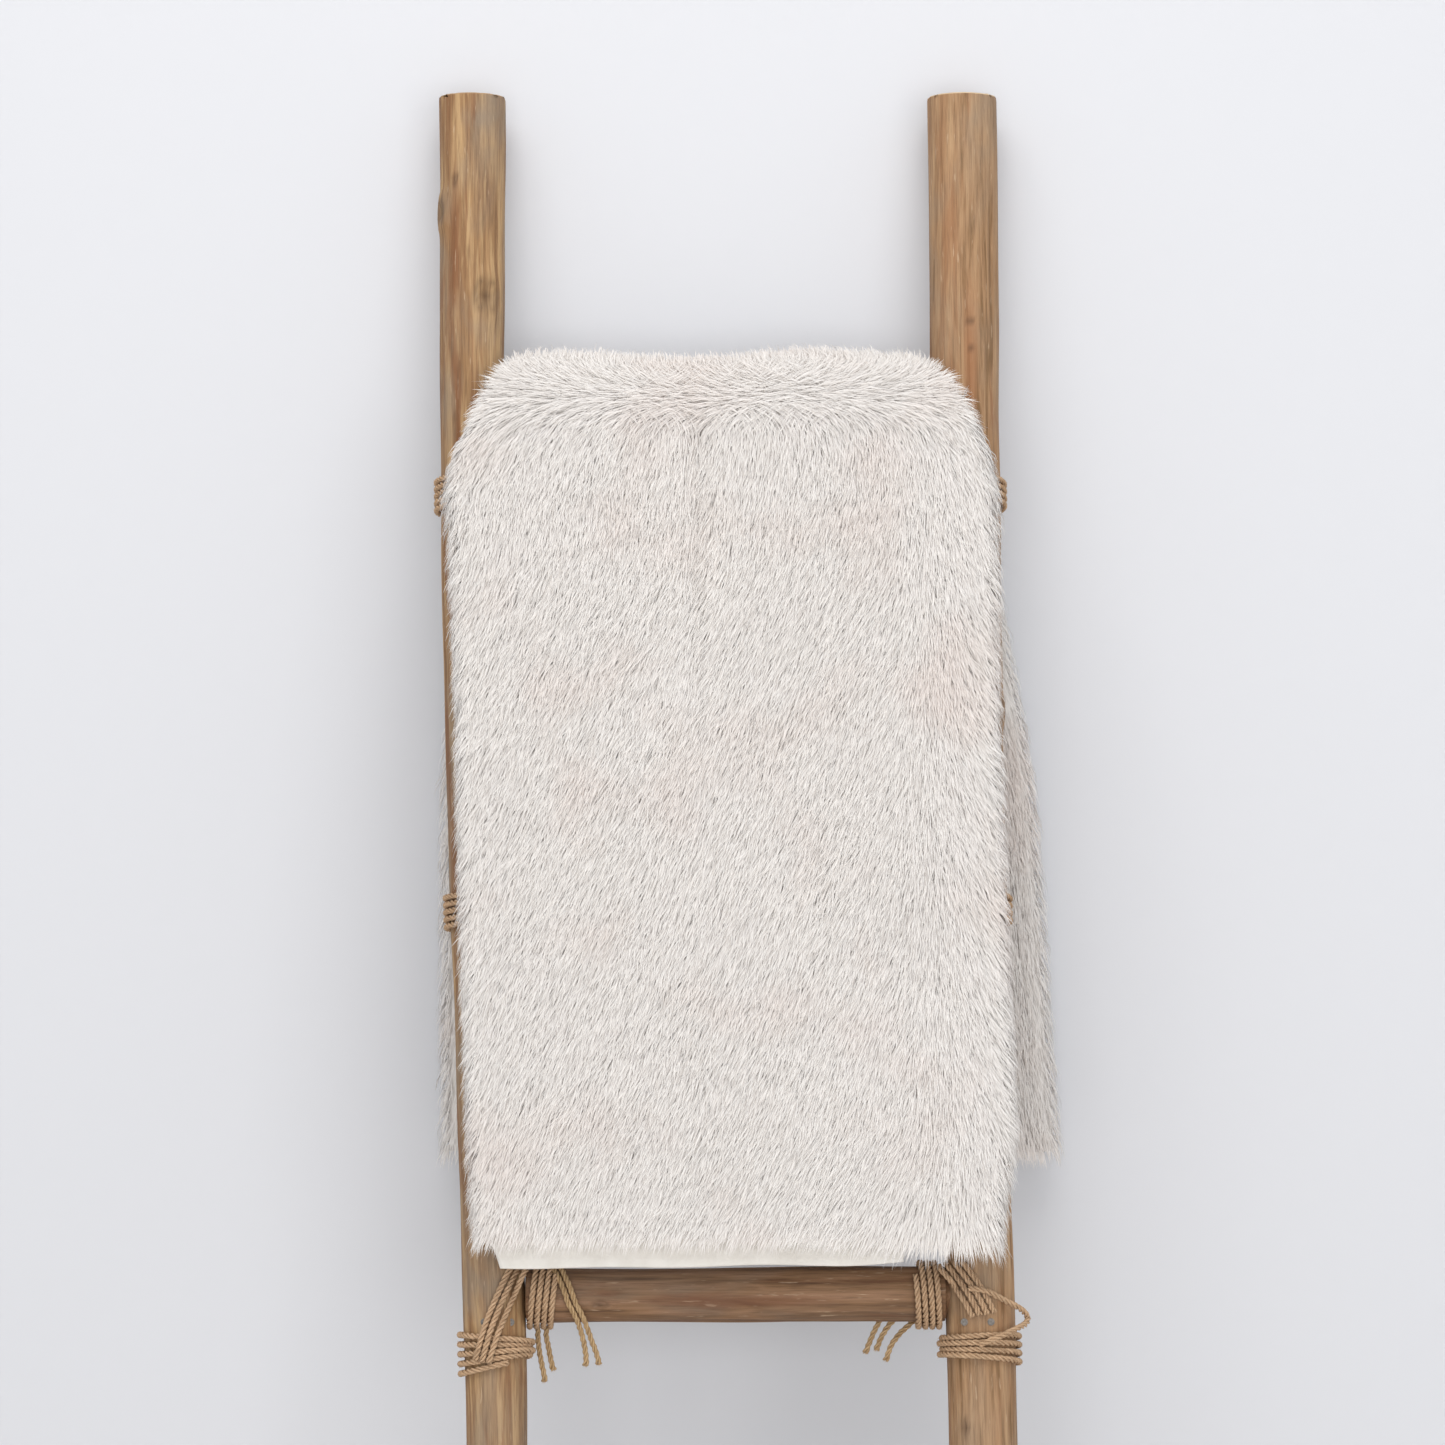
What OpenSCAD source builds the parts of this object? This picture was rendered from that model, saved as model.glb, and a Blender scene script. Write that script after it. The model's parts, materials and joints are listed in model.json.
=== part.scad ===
// Blanket ladder of peeled branches, lashed with rope, with a folded fur throw over its top rung.
// Millimetres. +Z is up, +X to the right, +Y towards the wall that the ladder leans on.
// The origin is on the floor, midway between the feet, on the ladder's centre plane.

/* [Ladder] */
// Length of each post from foot to top
ladder_len = 1700; // [1500:10:2100]
// Lean of the ladder from upright, in degrees
lean = 12; // [6:1:16]
// Height of the lowest rung, along the posts
first_rung = 260; // [200:10:320]
// Distance from one rung to the next, along the posts
rung_pitch = 370; // [300:5:450]

/* [Left post] */
// Foot of the left post, out from the middle
left_foot_x = 176; // [150:1:215]
// Top of the left post, out from the middle
left_top_x = 229; // [200:1:275]
// Sideways sway of the left post
left_sway = 4; // [0:0.5:6]
// Radius of the left post in its lower half
left_low_r = 25.5; // [22:0.5:31]
// Radius of the left post at its top
left_top_r = 30; // [25:0.5:36]

/* [Right post] */
// Foot of the right post, out from the middle
right_foot_x = 224; // [190:1:270]
// Top of the right post, out from the middle
right_top_x = 217; // [190:1:265]
// Inward bow of the right post
right_bow = 6; // [0:0.5:10]
// Radius of the right post in its lower half
right_low_r = 28.5; // [24:0.5:34]
// Radius of the right post at its top
right_top_r = 32; // [26:0.5:38]

/* [Rungs] */
// Radius of a rung
rung_r = 22.5; // [18:0.5:27]
// Natural swelling along a rung
rung_wave = 0.8; // [0:0.1:1.5]
// Radius of the round tenon at each end of a rung
tenon_r = 14; // [10:0.5:17]
// Depth of a tenon in its post
tenon_len = 24; // [15:1:29]
// Radial play of a tenon in its mortise
tenon_play = 0.05; // [0.02:0.01:0.1]

/* [Lashings] */
// Diameter of the rope
rope_d = 5.5; // [4:0.5:7]
// Turns of rope on the rung beside the post
rung_turns = 4; // [2:1:5]
// Turns of rope round the left post under each rung
left_turns = 5; // [2:1:6]
// Turns of rope round the right post under each rung
right_turns = 4; // [2:1:6]
// Diameter of a loose rope end
tail_d = 5; // [3.5:0.5:5]
// Radius of a nail's head
nail_head_r = 3; // [2:0.1:4]

/* [Throw] */
// Width of the folded throw in front of the ladder
throw_w = 470; // [390:5:570]
// Thickness of the folded throw, with its pile pressed
throw_thick = 50; // [35:1:65]
// Thickness of the lining
lining_thick = 2.5; // [1:0.5:4]
// Length of the front drop below the top rung
front_drop = 710; // [590:5:720]
// How far the lining hangs lower than the fur
hem_show = 8; // [2:1:14]
// Length of the back drop below the top rung
back_drop = 640; // [520:5:780]
// Reach of the back drop's lower corner to the left
back_left_reach = 255; // [220:5:310]
// Reach of the back drop's lower corner to the right
back_right_reach = 305; // [250:5:370]

/* [Hidden] */

LEFT = -1;
RIGHT = 1;
RUNGS = 4;
rope_gap = 0.5;         // air between the rope and what it is wound on
turn_gap = 0.25;        // air between two turns of rope
shoulder_gap = 0.3;     // air between a rung's shoulder and its post
mortise_floor = 1;      // air under a tenon's end
root_flare = 3;         // extra radius at a foot
flare_end = 0.15;       // share of a post's length that the flare fades over
depth_sway = 1.5;       // sway of a post out of the ladder's plane
post_sides = 24;
post_rings = 34;
rung_rings = 12;
band_drop = rung_r + rung_wave + rope_d + 2;
crossings = 2;          // strands that cross from the post's turns to the rung's
crossing_lean = 42;     // lean of a crossing strand from the post's line, in degrees
crossing_len = 33;
crossing_pitch = 1.6 * rope_d;
nail_r = 1.2;
nail_head_h = 1.2;
nail_len = 20;
nail_drop = band_drop - 7;
throw_air = 3;          // air between the throw and the lashings that it slides past
saddle_air = 1;         // air between the throw and the rope on the top rung
side_air = 4;           // air between the throw and the posts at the top rung
fold_gap = 0.3;         // air between the saddle's ends and the shoulders beside it
corner_r = 55;          // rounding of the front drop's upper corners

// Loose rope ends, each a hand-laid route of [across, towards the wall, up] from the post's
// centre at its rung. The first point is in the lashing that the end leaves.
TAILS_3_LEFT = [
    [[37, 0, -27], [37, 1, -36], [38, 1, -46], [40, 0, -57], [42, -1, -66], [43, -1, -73]],
    [[44, 2, -27], [44, 3, -36], [46, 3, -46], [48, 2, -56], [50, 2, -64]],
    [[50, -10, 24.5], [55, -19, 18], [60, -25, 8], [64, -27, -3], [69, -25, -13],
     [73, -21, -24], [76, -18, -36], [78, -16, -48], [78, -16, -57]],
    [[50, -2, 26.5], [56, -10, 25], [61, -20, 18], [66, -25.5, 8], [70, -27, -3], [75, -25, -13],
     [79, -21, -24], [83, -18, -36], [87, -16, -47], [89, -16, -56]]
];
TAILS_3_RIGHT = [
    [[-50, 27, 6], [-62, 27, -4], [-73, 25, -14], [-82, 23, -25], [-89, 21, -38], [-95, 20, -53]],
    [[-50, 25, -10], [-62, 23, -18], [-73, 20, -27], [-81, 18, -38], [-86, 18, -50]],
    [[-50, 17, -21], [-58, 15, -28], [-67, 13, -36], [-74, 12, -46], [-78, 12, -58]]
];
TAILS_4_LEFT = [
    [[36, 0, -27], [36, 1, -36], [35, 1, -46], [36, 1, -56], [38, 0, -65]],
    [[44, 2, -27], [45, 3, -36], [46, 3, -47], [45, 3, -58], [43, 2, -70]]
];
TAILS_4_RIGHT = [
    [[-38, 1, -27], [-38, 2, -36], [-39, 2, -46], [-41, 1, -57], [-42, 1, -68]],
    [[-46, 2, -27], [-47, 3, -36], [-49, 3, -46], [-50, 3, -56], [-50, 3, -63]]
];

// Places on the ladder, along the posts
function rung_s(k) = first_rung + (RUNGS - k) * rung_pitch;
top_s = rung_s(1);

// Centre line and radius of a post at a distance s from its foot
function share(s) = s / ladder_len;
function left_x(t) = -left_foot_x - (left_top_x - left_foot_x) * t + left_sway * cos(450 * (t - 0.3));
function right_x(t) = right_foot_x + (right_top_x - right_foot_x) * t - right_bow * sin(180 * t);
function post_x(side, s) = side == LEFT ? left_x(share(s)) : right_x(share(s));
function post_y(side, s) = side * depth_sway * sin(540 * share(s));
function flare(t) = root_flare * pow(max(0, 1 - t / flare_end), 2);
function left_r(t) = left_low_r + (left_top_r - left_low_r) * t * t + flare(t);
function right_r(t) = right_low_r + (right_top_r - right_low_r) * t * t + flare(t);
function post_r(side, s) = side == LEFT ? left_r(share(s)) : right_r(share(s));

// Inner face of a post, and the place that clears it by a gap across a reach above and below
function inner_x(side, s) = post_x(side, s) - side * post_r(side, s);
function clear_x(side, s, reach, gap) =
    let (faces = [for (ds = [-reach, 0, reach]) inner_x(side, s + ds)])
    side == LEFT ? max(faces) + gap : min(faces) - gap;
function shoulder_x(side, s) = clear_x(side, s, rung_r, shoulder_gap);

// Rope sizes that follow the wood under it
wrap_r = rung_r + rung_wave + rope_gap + rope_d / 2;
turn_pitch = rope_d + turn_gap;
widest_post = max(left_top_r, right_top_r);

// Sizes of the throw that follow the ladder
drop_face = widest_post + depth_sway + rope_gap + rope_d + throw_air;
saddle_in = wrap_r + rope_d / 2 + saddle_air;
saddle_out = drop_face + lining_thick + throw_thick;
saddle_left = max(inner_x(LEFT, top_s), inner_x(LEFT, ladder_len)) + side_air;
saddle_right = min(inner_x(RIGHT, top_s), inner_x(RIGHT, ladder_len)) - side_air;
edge_r = throw_thick / 2;
drop_mid = drop_face + lining_thick + edge_r;

// Puts what is drawn upright at the leaning ladder's place
module leaned() { rotate([-lean, 0, 0]) children(); }

// A point of the leaning ladder's plane, in the upright frame
function on_ladder(s, n) = [s * sin(lean) + n * cos(lean), s * cos(lean) - n * sin(lean)];

// Closed skin over rings of points, all rings with the same number of sides
module skin(rings) {
    sides = len(rings[0]);
    last = len(rings) - 1;
    polyhedron(
        points = [for (ring = rings) each ring],
        faces = concat(
            [[for (j = [sides - 1 : -1 : 0]) j]],
            [for (i = [0 : last - 1], j = [0 : sides - 1])
                [i * sides + j, i * sides + (j + 1) % sides, (i + 1) * sides + (j + 1) % sides]],
            [for (i = [0 : last - 1], j = [0 : sides - 1])
                [i * sides + j, (i + 1) * sides + (j + 1) % sides, (i + 1) * sides + j]],
            [[for (j = [0 : sides - 1]) last * sides + j]]
        )
    );
}

// Round bar of rope along a route
function unit(v) = v / norm(v);
function along(p, i) = unit(p[min(i + 1, len(p) - 1)] - p[max(i - 1, 0)]);
function rope_ring(c, t, d) =
    let (a = unit(cross(t, [0, 1, 0])), b = cross(t, a))
    [for (j = [0 : 7]) c + d / 2 * (a * cos(45 * j) + b * sin(45 * j))];
module rope(route, d) {
    skin([for (i = [0 : len(route) - 1]) rope_ring(route[i], along(route, i), d)]);
}

// One closed turn of rope, its axis along Z
module turn_of_rope(r) {
    rotate_extrude($fn = 64) translate([r, 0]) circle(d = rope_d, $fn = 32);
}

// Post: a peeled branch that sways and tapers, mortised for each rung, cut level at the floor
module post(side) {
    difference() {
        leaned() difference() {
            skin([for (i = [0 : post_rings]) let (s = -50 + (ladder_len + 50) * i / post_rings)
                [for (j = [0 : post_sides - 1])
                    let (a = 360 * j / post_sides, q = max(0, s), r = post_r(side, q))
                    [post_x(side, q) + r * cos(a), post_y(side, q) + r * sin(a), s]]]);
            for (k = [1 : RUNGS]) translate([inner_x(side, rung_s(k)), 0, rung_s(k)])
                rotate([0, side * 90, 0]) translate([0, 0, -rung_r])
                    cylinder(r = tenon_r + tenon_play, h = rung_r + tenon_len + mortise_floor, $fn = 64);
        }
        translate([-600, -300, -200]) cube([1200, 600, 200]);
    }
}
module left_post() { color([0.66, 0.53, 0.40]) post(LEFT); }
module right_post() { color([0.69, 0.56, 0.43]) post(RIGHT); }

// Rung: a round pole with a slight swell, shouldered down to a tenon at each end
module rung(k) {
    s = rung_s(k);
    x0 = shoulder_x(LEFT, s);
    x1 = shoulder_x(RIGHT, s);
    left_end = inner_x(LEFT, s) - tenon_len;
    right_end = inner_x(RIGHT, s) + tenon_len;
    color([0.53, 0.40, 0.31]) leaned() translate([0, 0, s]) rotate([0, 90, 0]) {
        rotate_extrude($fn = 64) polygon(concat(
            [[0, x0]],
            [for (i = [0 : rung_rings]) let (u = i / rung_rings)
                [rung_r + rung_wave * sin(360 * u + 90 * k), x0 + (x1 - x0) * u]],
            [[0, x1]]
        ));
        translate([0, 0, left_end]) cylinder(r = tenon_r, h = x0 + rung_r - left_end, $fn = 64);
        translate([0, 0, x1 - rung_r]) cylinder(r = tenon_r, h = right_end - x1 + rung_r, $fn = 64);
    }
}

// Lashing: turns on the rung, turns on the post below it, and two strands that cross between them
module lashing(side, k) {
    s = rung_s(k);
    turns = side == LEFT ? left_turns : right_turns;
    strand_y = -max(post_r(side, s) + depth_sway, wrap_r + rope_d / 2) - rope_gap - rope_d / 2;
    wrap_x = clear_x(side, s, wrap_r, rope_gap + rope_d / 2);
    band_top = -band_drop - turn_pitch / 2;
    color([0.66, 0.54, 0.42]) leaned() {
        for (i = [0 : rung_turns - 1])
            translate([wrap_x - side * i * turn_pitch, 0, s]) rotate([0, 90, 0]) turn_of_rope(wrap_r);
        for (i = [0 : turns - 1]) let (at = s + band_top - i * turn_pitch)
            translate([post_x(side, at), post_y(side, at), at])
                turn_of_rope(post_r(side, at - turn_pitch) + rope_gap + rope_d / 2);
        for (i = [0 : crossings - 1]) let (in_by = 3 + i * crossing_pitch)
            translate([post_x(side, s) - side * in_by, strand_y, s + band_top + turn_pitch])
                rotate([0, -side * crossing_lean, 0]) cylinder(d = rope_d, h = crossing_len, $fn = 32);
    }
}

// Nails: two at each lashing, driven into the front of the post between the rope's strands
module lashing_nails() {
    color([0.75, 0.75, 0.76]) leaned() for (side = [LEFT, RIGHT], k = [1 : RUNGS], across = [-7, 15])
        let (at = rung_s(k) - nail_drop, face = sqrt(pow(post_r(side, at), 2) - across * across))
            translate([post_x(side, at) - side * across, post_y(side, at) - face - 1, at])
            rotate([-90, 0, 0]) {
                cylinder(r = nail_head_r, h = nail_head_h, $fn = 32);
                cylinder(r = nail_r, h = nail_len, $fn = 32);
            }
}

// Loose rope end, hanging from a lashing
module tail(side, k, route) {
    s = rung_s(k);
    yz = on_ladder(s, 0);
    color([0.64, 0.51, 0.38]) translate([post_x(side, s), yz[0], yz[1]]) rope(route, tail_d);
}

// Soft slab with rounded edges, through levels of [height, left, right, half thickness, depth]
module soft_slab(levels) {
    skin([for (v = levels)
        [for (side = [RIGHT, LEFT], j = [0 : 8]) let (a = 22.5 * j - side * 90)
            [(side == RIGHT ? v[2] : v[1]) + v[3] * cos(a), v[4] + v[3] * sin(a), v[0]]]]);
}

// Rounded edge of a slab: share of its half thickness, and of the way in from its very end
function edge_t(a) = edge_r * max(0.05, sin(a));
function edge_z(a) = edge_r * (1 - cos(a));

// Front drop: the folded throw in front of the posts, with rounded shoulders either side of the saddle
module throw_front_drop() {
    x = throw_w / 2 - edge_r;
    low = top_s - front_drop;
    high = top_s + saddle_out - drop_face;
    shoulder = x - corner_r;
    color([0.94, 0.92, 0.90]) leaned() difference() {
        soft_slab(concat(
            [for (a = [0 : 22.5 : 90]) [low + edge_z(a), -x, x, edge_t(a), -drop_mid]],
            [[high - edge_r - corner_r, -x, x, edge_r, -drop_mid]],
            [for (a = [90 : -22.5 : 0]) [high - edge_z(a), -shoulder, shoulder, edge_t(a), -drop_mid]]
        ));
        translate([saddle_left - fold_gap, -2 * saddle_out, top_s])
            cube([saddle_right - saddle_left + 2 * fold_gap, 2 * saddle_out, saddle_out]);
    }
}

// Lining: the plain cloth on the inner side of the front drop, its hem just below the fur
module throw_lining() {
    low = top_s - front_drop - hem_show;
    color([0.88, 0.87, 0.85]) leaned() translate([saddle_left, -drop_face - lining_thick, low])
        cube([saddle_right - saddle_left - 2 * edge_r, lining_thick, top_s - low - edge_r]);
}

// Saddle: the throw bent over the top rung, between the posts
module throw_saddle() {
    color([0.95, 0.93, 0.91]) leaned() translate([saddle_left, 0, top_s]) rotate([90, 0, 90])
        rotate_extrude(angle = 180, $fn = 96) translate([saddle_in, 0])
            square([saddle_out - saddle_in, saddle_right - saddle_left]);
}

// Back drop: the fold that hangs plumb behind the ladder and fans out to the right
module throw_back_drop() {
    x = throw_w / 2 - edge_r;
    left = edge_r - back_left_reach;
    right = back_right_reach - edge_r;
    top = on_ladder(top_s + edge_r, drop_mid);
    foot = on_ladder(top_s, drop_mid) - [0, back_drop - edge_r];
    corners = [
        [-x, top[0], top[1]], [x, top[0], top[1]],
        [left, foot[0], foot[1]], [right, foot[0], foot[1]]
    ];
    color([0.90, 0.89, 0.88]) difference() {
        hull() for (c = corners) translate(c) sphere(r = edge_r, $fn = 24);
        leaned() translate([-throw_w, 0, top_s]) cube([2 * throw_w, 300, 300]);
    }
}

left_post();
right_post();
rung(1);  // rung_1
rung(2);  // rung_2
rung(3);  // rung_3
rung(4);  // rung_4
lashing(LEFT, 1);  // lashing_1_left
lashing(RIGHT, 1);  // lashing_1_right
lashing(LEFT, 2);  // lashing_2_left
lashing(RIGHT, 2);  // lashing_2_right
lashing(LEFT, 3);  // lashing_3_left
lashing(RIGHT, 3);  // lashing_3_right
lashing(LEFT, 4);  // lashing_4_left
lashing(RIGHT, 4);  // lashing_4_right
lashing_nails();
tail(LEFT, 3, TAILS_3_LEFT[0]);  // tail_3_left_a
tail(LEFT, 3, TAILS_3_LEFT[1]);  // tail_3_left_b
tail(LEFT, 3, TAILS_3_LEFT[2]);  // tail_3_left_c
tail(LEFT, 3, TAILS_3_LEFT[3]);  // tail_3_left_d
tail(RIGHT, 3, TAILS_3_RIGHT[0]);  // tail_3_right_a
tail(RIGHT, 3, TAILS_3_RIGHT[1]);  // tail_3_right_b
tail(RIGHT, 3, TAILS_3_RIGHT[2]);  // tail_3_right_c
tail(LEFT, 4, TAILS_4_LEFT[0]);  // tail_4_left_a
tail(LEFT, 4, TAILS_4_LEFT[1]);  // tail_4_left_b
tail(RIGHT, 4, TAILS_4_RIGHT[0]);  // tail_4_right_a
tail(RIGHT, 4, TAILS_4_RIGHT[1]);  // tail_4_right_b
throw_front_drop();
throw_lining();
throw_saddle();
throw_back_drop();
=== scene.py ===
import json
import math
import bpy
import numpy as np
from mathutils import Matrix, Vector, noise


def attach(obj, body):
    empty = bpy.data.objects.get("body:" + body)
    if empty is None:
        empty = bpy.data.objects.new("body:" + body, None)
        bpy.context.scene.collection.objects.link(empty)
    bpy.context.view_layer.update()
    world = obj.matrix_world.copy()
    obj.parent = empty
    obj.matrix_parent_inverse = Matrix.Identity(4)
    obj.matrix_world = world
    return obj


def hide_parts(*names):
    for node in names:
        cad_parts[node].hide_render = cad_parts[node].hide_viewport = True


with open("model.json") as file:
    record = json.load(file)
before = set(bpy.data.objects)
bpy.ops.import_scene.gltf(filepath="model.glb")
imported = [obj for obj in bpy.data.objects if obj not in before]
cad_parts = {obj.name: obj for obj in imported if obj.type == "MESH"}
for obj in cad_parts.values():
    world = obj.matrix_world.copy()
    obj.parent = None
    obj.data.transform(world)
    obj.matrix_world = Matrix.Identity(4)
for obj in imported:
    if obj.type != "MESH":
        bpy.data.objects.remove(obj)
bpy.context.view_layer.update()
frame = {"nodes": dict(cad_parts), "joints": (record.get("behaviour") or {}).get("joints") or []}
# %% [markdown]
# # A fur throw on a blanket ladder
# Two peeled branches lean on a wall. Four round rungs are shouldered into them and lashed with jute
# rope. A white faux-fur throw, folded in thirds, hangs over the top rung. The measured frame is
# loaded first, and every piece below is built round it, in metres.

LEAN = math.asin(frame["joints"][0]["axis"][1])

# %% [markdown]
# ## Camera
# The view is level and square on. A long lens of about 86 mm keeps the posts nearly parallel.

# %% Camera
EYE = (0, -2.767, 1.097)
bpy.ops.object.select_all(action="DESELECT")
bpy.ops.object.camera_add(location=EYE, rotation=(math.pi / 2, 0, 0))
camera = bpy.context.object
camera.data.lens = 85.9
camera.data.sensor_width = 36
bpy.context.scene.camera = camera
print("camera at", EYE)

# %% [markdown]
# ## Where the wood lies
# The cords and lashings need to know the wood under them. Each post is a gentle curve with a
# radius that grows at the foot and at the top. `along` is the distance up the post, and the
# ladder's own depth runs square to it, so one function turns such a place into a real one.

# %% Centre lines of the posts
POST_LEN = 1.7
RUNG_AT = {1: 1.37, 2: 1.0, 3: 0.63, 4: 0.26}
RUNG_R = 0.0225
LEFT, RIGHT = -1, 1


def post_x(side, along):
    t = along / POST_LEN
    if side == LEFT:
        return -0.176 - 0.053 * t + 0.004 * math.cos(math.radians(450 * (t - 0.3)))
    return 0.224 - 0.007 * t - 0.006 * math.sin(math.radians(180 * t))


def post_depth(side, along):
    return side * 0.0015 * math.sin(math.radians(540 * along / POST_LEN))


def post_r(side, along):
    t = along / POST_LEN
    flare = 0.003 * max(0, 1 - t / 0.15) ** 2
    if side == LEFT:
        return 0.0255 + 0.0045 * t * t + flare
    return 0.0285 + 0.0035 * t * t + flare


def leaned(x, depth, along):
    """World place of a point of the leaning ladder."""
    y = along * math.sin(LEAN) + depth * math.cos(LEAN)
    z = along * math.cos(LEAN) - depth * math.sin(LEAN)
    return (x, y, z)


print("left post at rung 3:", [round(c, 4) for c in leaned(post_x(LEFT, 0.63), 0, 0.63)])

# %% [markdown]
# ## Laid rope
# Jute rope is three strands twisted round each other. A tube with a striped picture would look
# painted, so each strand is its own little tube that winds round the rope's middle line. The
# route is first smoothed and cut into even steps, and a frame is carried along it without twist.

# %% A smooth route in even steps
ROPE_D = 0.0055
LAY = 0.0165  # the run in which a strand goes once round the rope


def run_along(route):
    """Distance from the start at each point of a route."""
    return np.concatenate([[0], np.cumsum(np.linalg.norm(np.diff(route, axis=0), axis=1))])


def unit(vectors):
    """Rows of vectors, each cut to length one."""
    return vectors / np.linalg.norm(vectors, axis=1)[:, None]


def smooth_route(points, step):
    """Catmull-Rom curve through the points, cut into even steps."""
    pts = np.array(points, float)
    ends = np.vstack([2 * pts[0] - pts[1], pts, 2 * pts[-1] - pts[-2]])
    dense = []
    for i in range(len(pts) - 1):
        a, b, c, d = ends[i : i + 4]
        for t in np.linspace(0, 1, 16, endpoint=False):
            bend = (2 * a - 5 * b + 4 * c - d) * t**2 + (3 * b - a - 3 * c + d) * t**3
            dense.append(0.5 * (2 * b + (c - a) * t + bend))
    dense = np.array(dense + [pts[-1]])
    run = run_along(dense)
    count = max(4, int(run[-1] / step))
    at = np.linspace(0, run[-1], count + 1)
    return np.stack([np.interp(at, run, dense[:, i]) for i in range(3)], axis=1)


def carried_frame(route):
    """Two sideways directions at each point of a route, carried along it without twist."""
    tangent = unit(np.gradient(route, axis=0))
    first = np.cross(tangent[0], [0.31, 0.87, 0.38])
    across = [first / np.linalg.norm(first)]
    for t in tangent[1:]:
        side = across[-1] - t * np.dot(across[-1], t)
        across.append(side / np.linalg.norm(side))
    across = np.array(across)
    return tangent, across, np.cross(tangent, across)


# %% Meshes from grids of points
def mesh_piece(name, points, faces, attributes=None):
    """A new mesh object. attributes: name -> values, one or three numbers per point."""
    mesh = bpy.data.meshes.new(name)
    points = np.asarray(points, np.float32)
    loops = np.concatenate([np.asarray(f, np.int32).ravel() for f in faces])
    sizes = np.concatenate([np.full(len(f), np.asarray(f).shape[1], np.int32) for f in faces])
    mesh.vertices.add(len(points))
    mesh.vertices.foreach_set("co", points.ravel())
    mesh.loops.add(len(loops))
    mesh.loops.foreach_set("vertex_index", loops)
    mesh.polygons.add(len(sizes))
    starts = np.concatenate([[0], np.cumsum(sizes)[:-1]])
    mesh.polygons.foreach_set("loop_start", starts.astype(np.int32))
    mesh.polygons.foreach_set("loop_total", sizes)
    mesh.update(calc_edges=True)
    for label, values in (attributes or {}).items():
        values = np.asarray(values, np.float32)
        kind = "FLOAT" if values.ndim == 1 else "FLOAT_VECTOR"
        made = mesh.attributes.new(label, kind, "POINT")
        made.data.foreach_set("value" if values.ndim == 1 else "vector", values.ravel())
    piece = bpy.data.objects.new(name, mesh)
    bpy.context.scene.collection.objects.link(piece)
    return piece


def only(piece):
    """Selects one piece and nothing else."""
    bpy.ops.object.select_all(action="DESELECT")
    piece.select_set(True)
    bpy.context.view_layer.objects.active = piece


def tube_faces(rings, sides, first=0):
    """Quads round a tube of rings."""
    i, j = np.meshgrid(np.arange(rings - 1), np.arange(sides), indexing="ij")
    k = (j + 1) % sides
    low, high = i * sides, (i + 1) * sides
    quads = np.stack([low + j, low + k, high + k, high + j], axis=-1)
    return quads.reshape(-1, 4) + first


# %% Three twisted strands along a route
def rope_strands(routes, diameter, fray, flare, sides=6):
    """Points, faces and fibre coordinates of a three-strand rope along each route."""
    strand_r = 0.49 * diameter / 2
    offset = 0.52 * diameter / 2
    points, faces, fibre, start = [], [], [], 0
    for number, route in enumerate(routes):
        _, across, up = carried_frame(route)
        run = run_along(route)
        near_end = np.clip((run - (run[-1] - fray)) / fray, 0, 1)
        for strand in range(3):
            turn = 2 * math.pi * (run / LAY + strand / 3 + 0.37 * number)
            spread = offset * (1 + flare * near_end**2)
            outward = np.cos(turn)[:, None] * across + np.sin(turn)[:, None] * up
            middle = route + spread[:, None] * outward
            thick = strand_r * (1 + 0.06 * np.sin(run * 900 + 2.1 * strand))
            thick[0] *= 0.6
            thick[-1] *= 0.6
            corner = 2 * math.pi * np.arange(sides) / sides
            angle = turn[:, None] + corner[None, :]
            rim = np.cos(angle)[..., None] * across[:, None, :] + np.sin(angle)[..., None] * up[:, None, :]
            ring = middle[:, None, :] + thick[:, None, None] * rim
            points.append(ring.reshape(-1, 3))
            faces.append(tube_faces(len(route), sides, start))
            last = start + (len(route) - 1) * sides
            faces.append(np.array([start + np.arange(sides)[::-1], last + np.arange(sides)]))
            around = np.stack([np.cos(corner), np.sin(corner)], axis=1) * strand_r
            length = np.repeat(run + 0.31 * strand + 0.77 * number, sides)
            fibre.append(np.column_stack([np.tile(around, (len(route), 1)), length]))
            start += len(route) * sides
    return np.concatenate(points), faces, np.concatenate(fibre)


FIBRE_HALF_WIDTH = 0.00016


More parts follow.
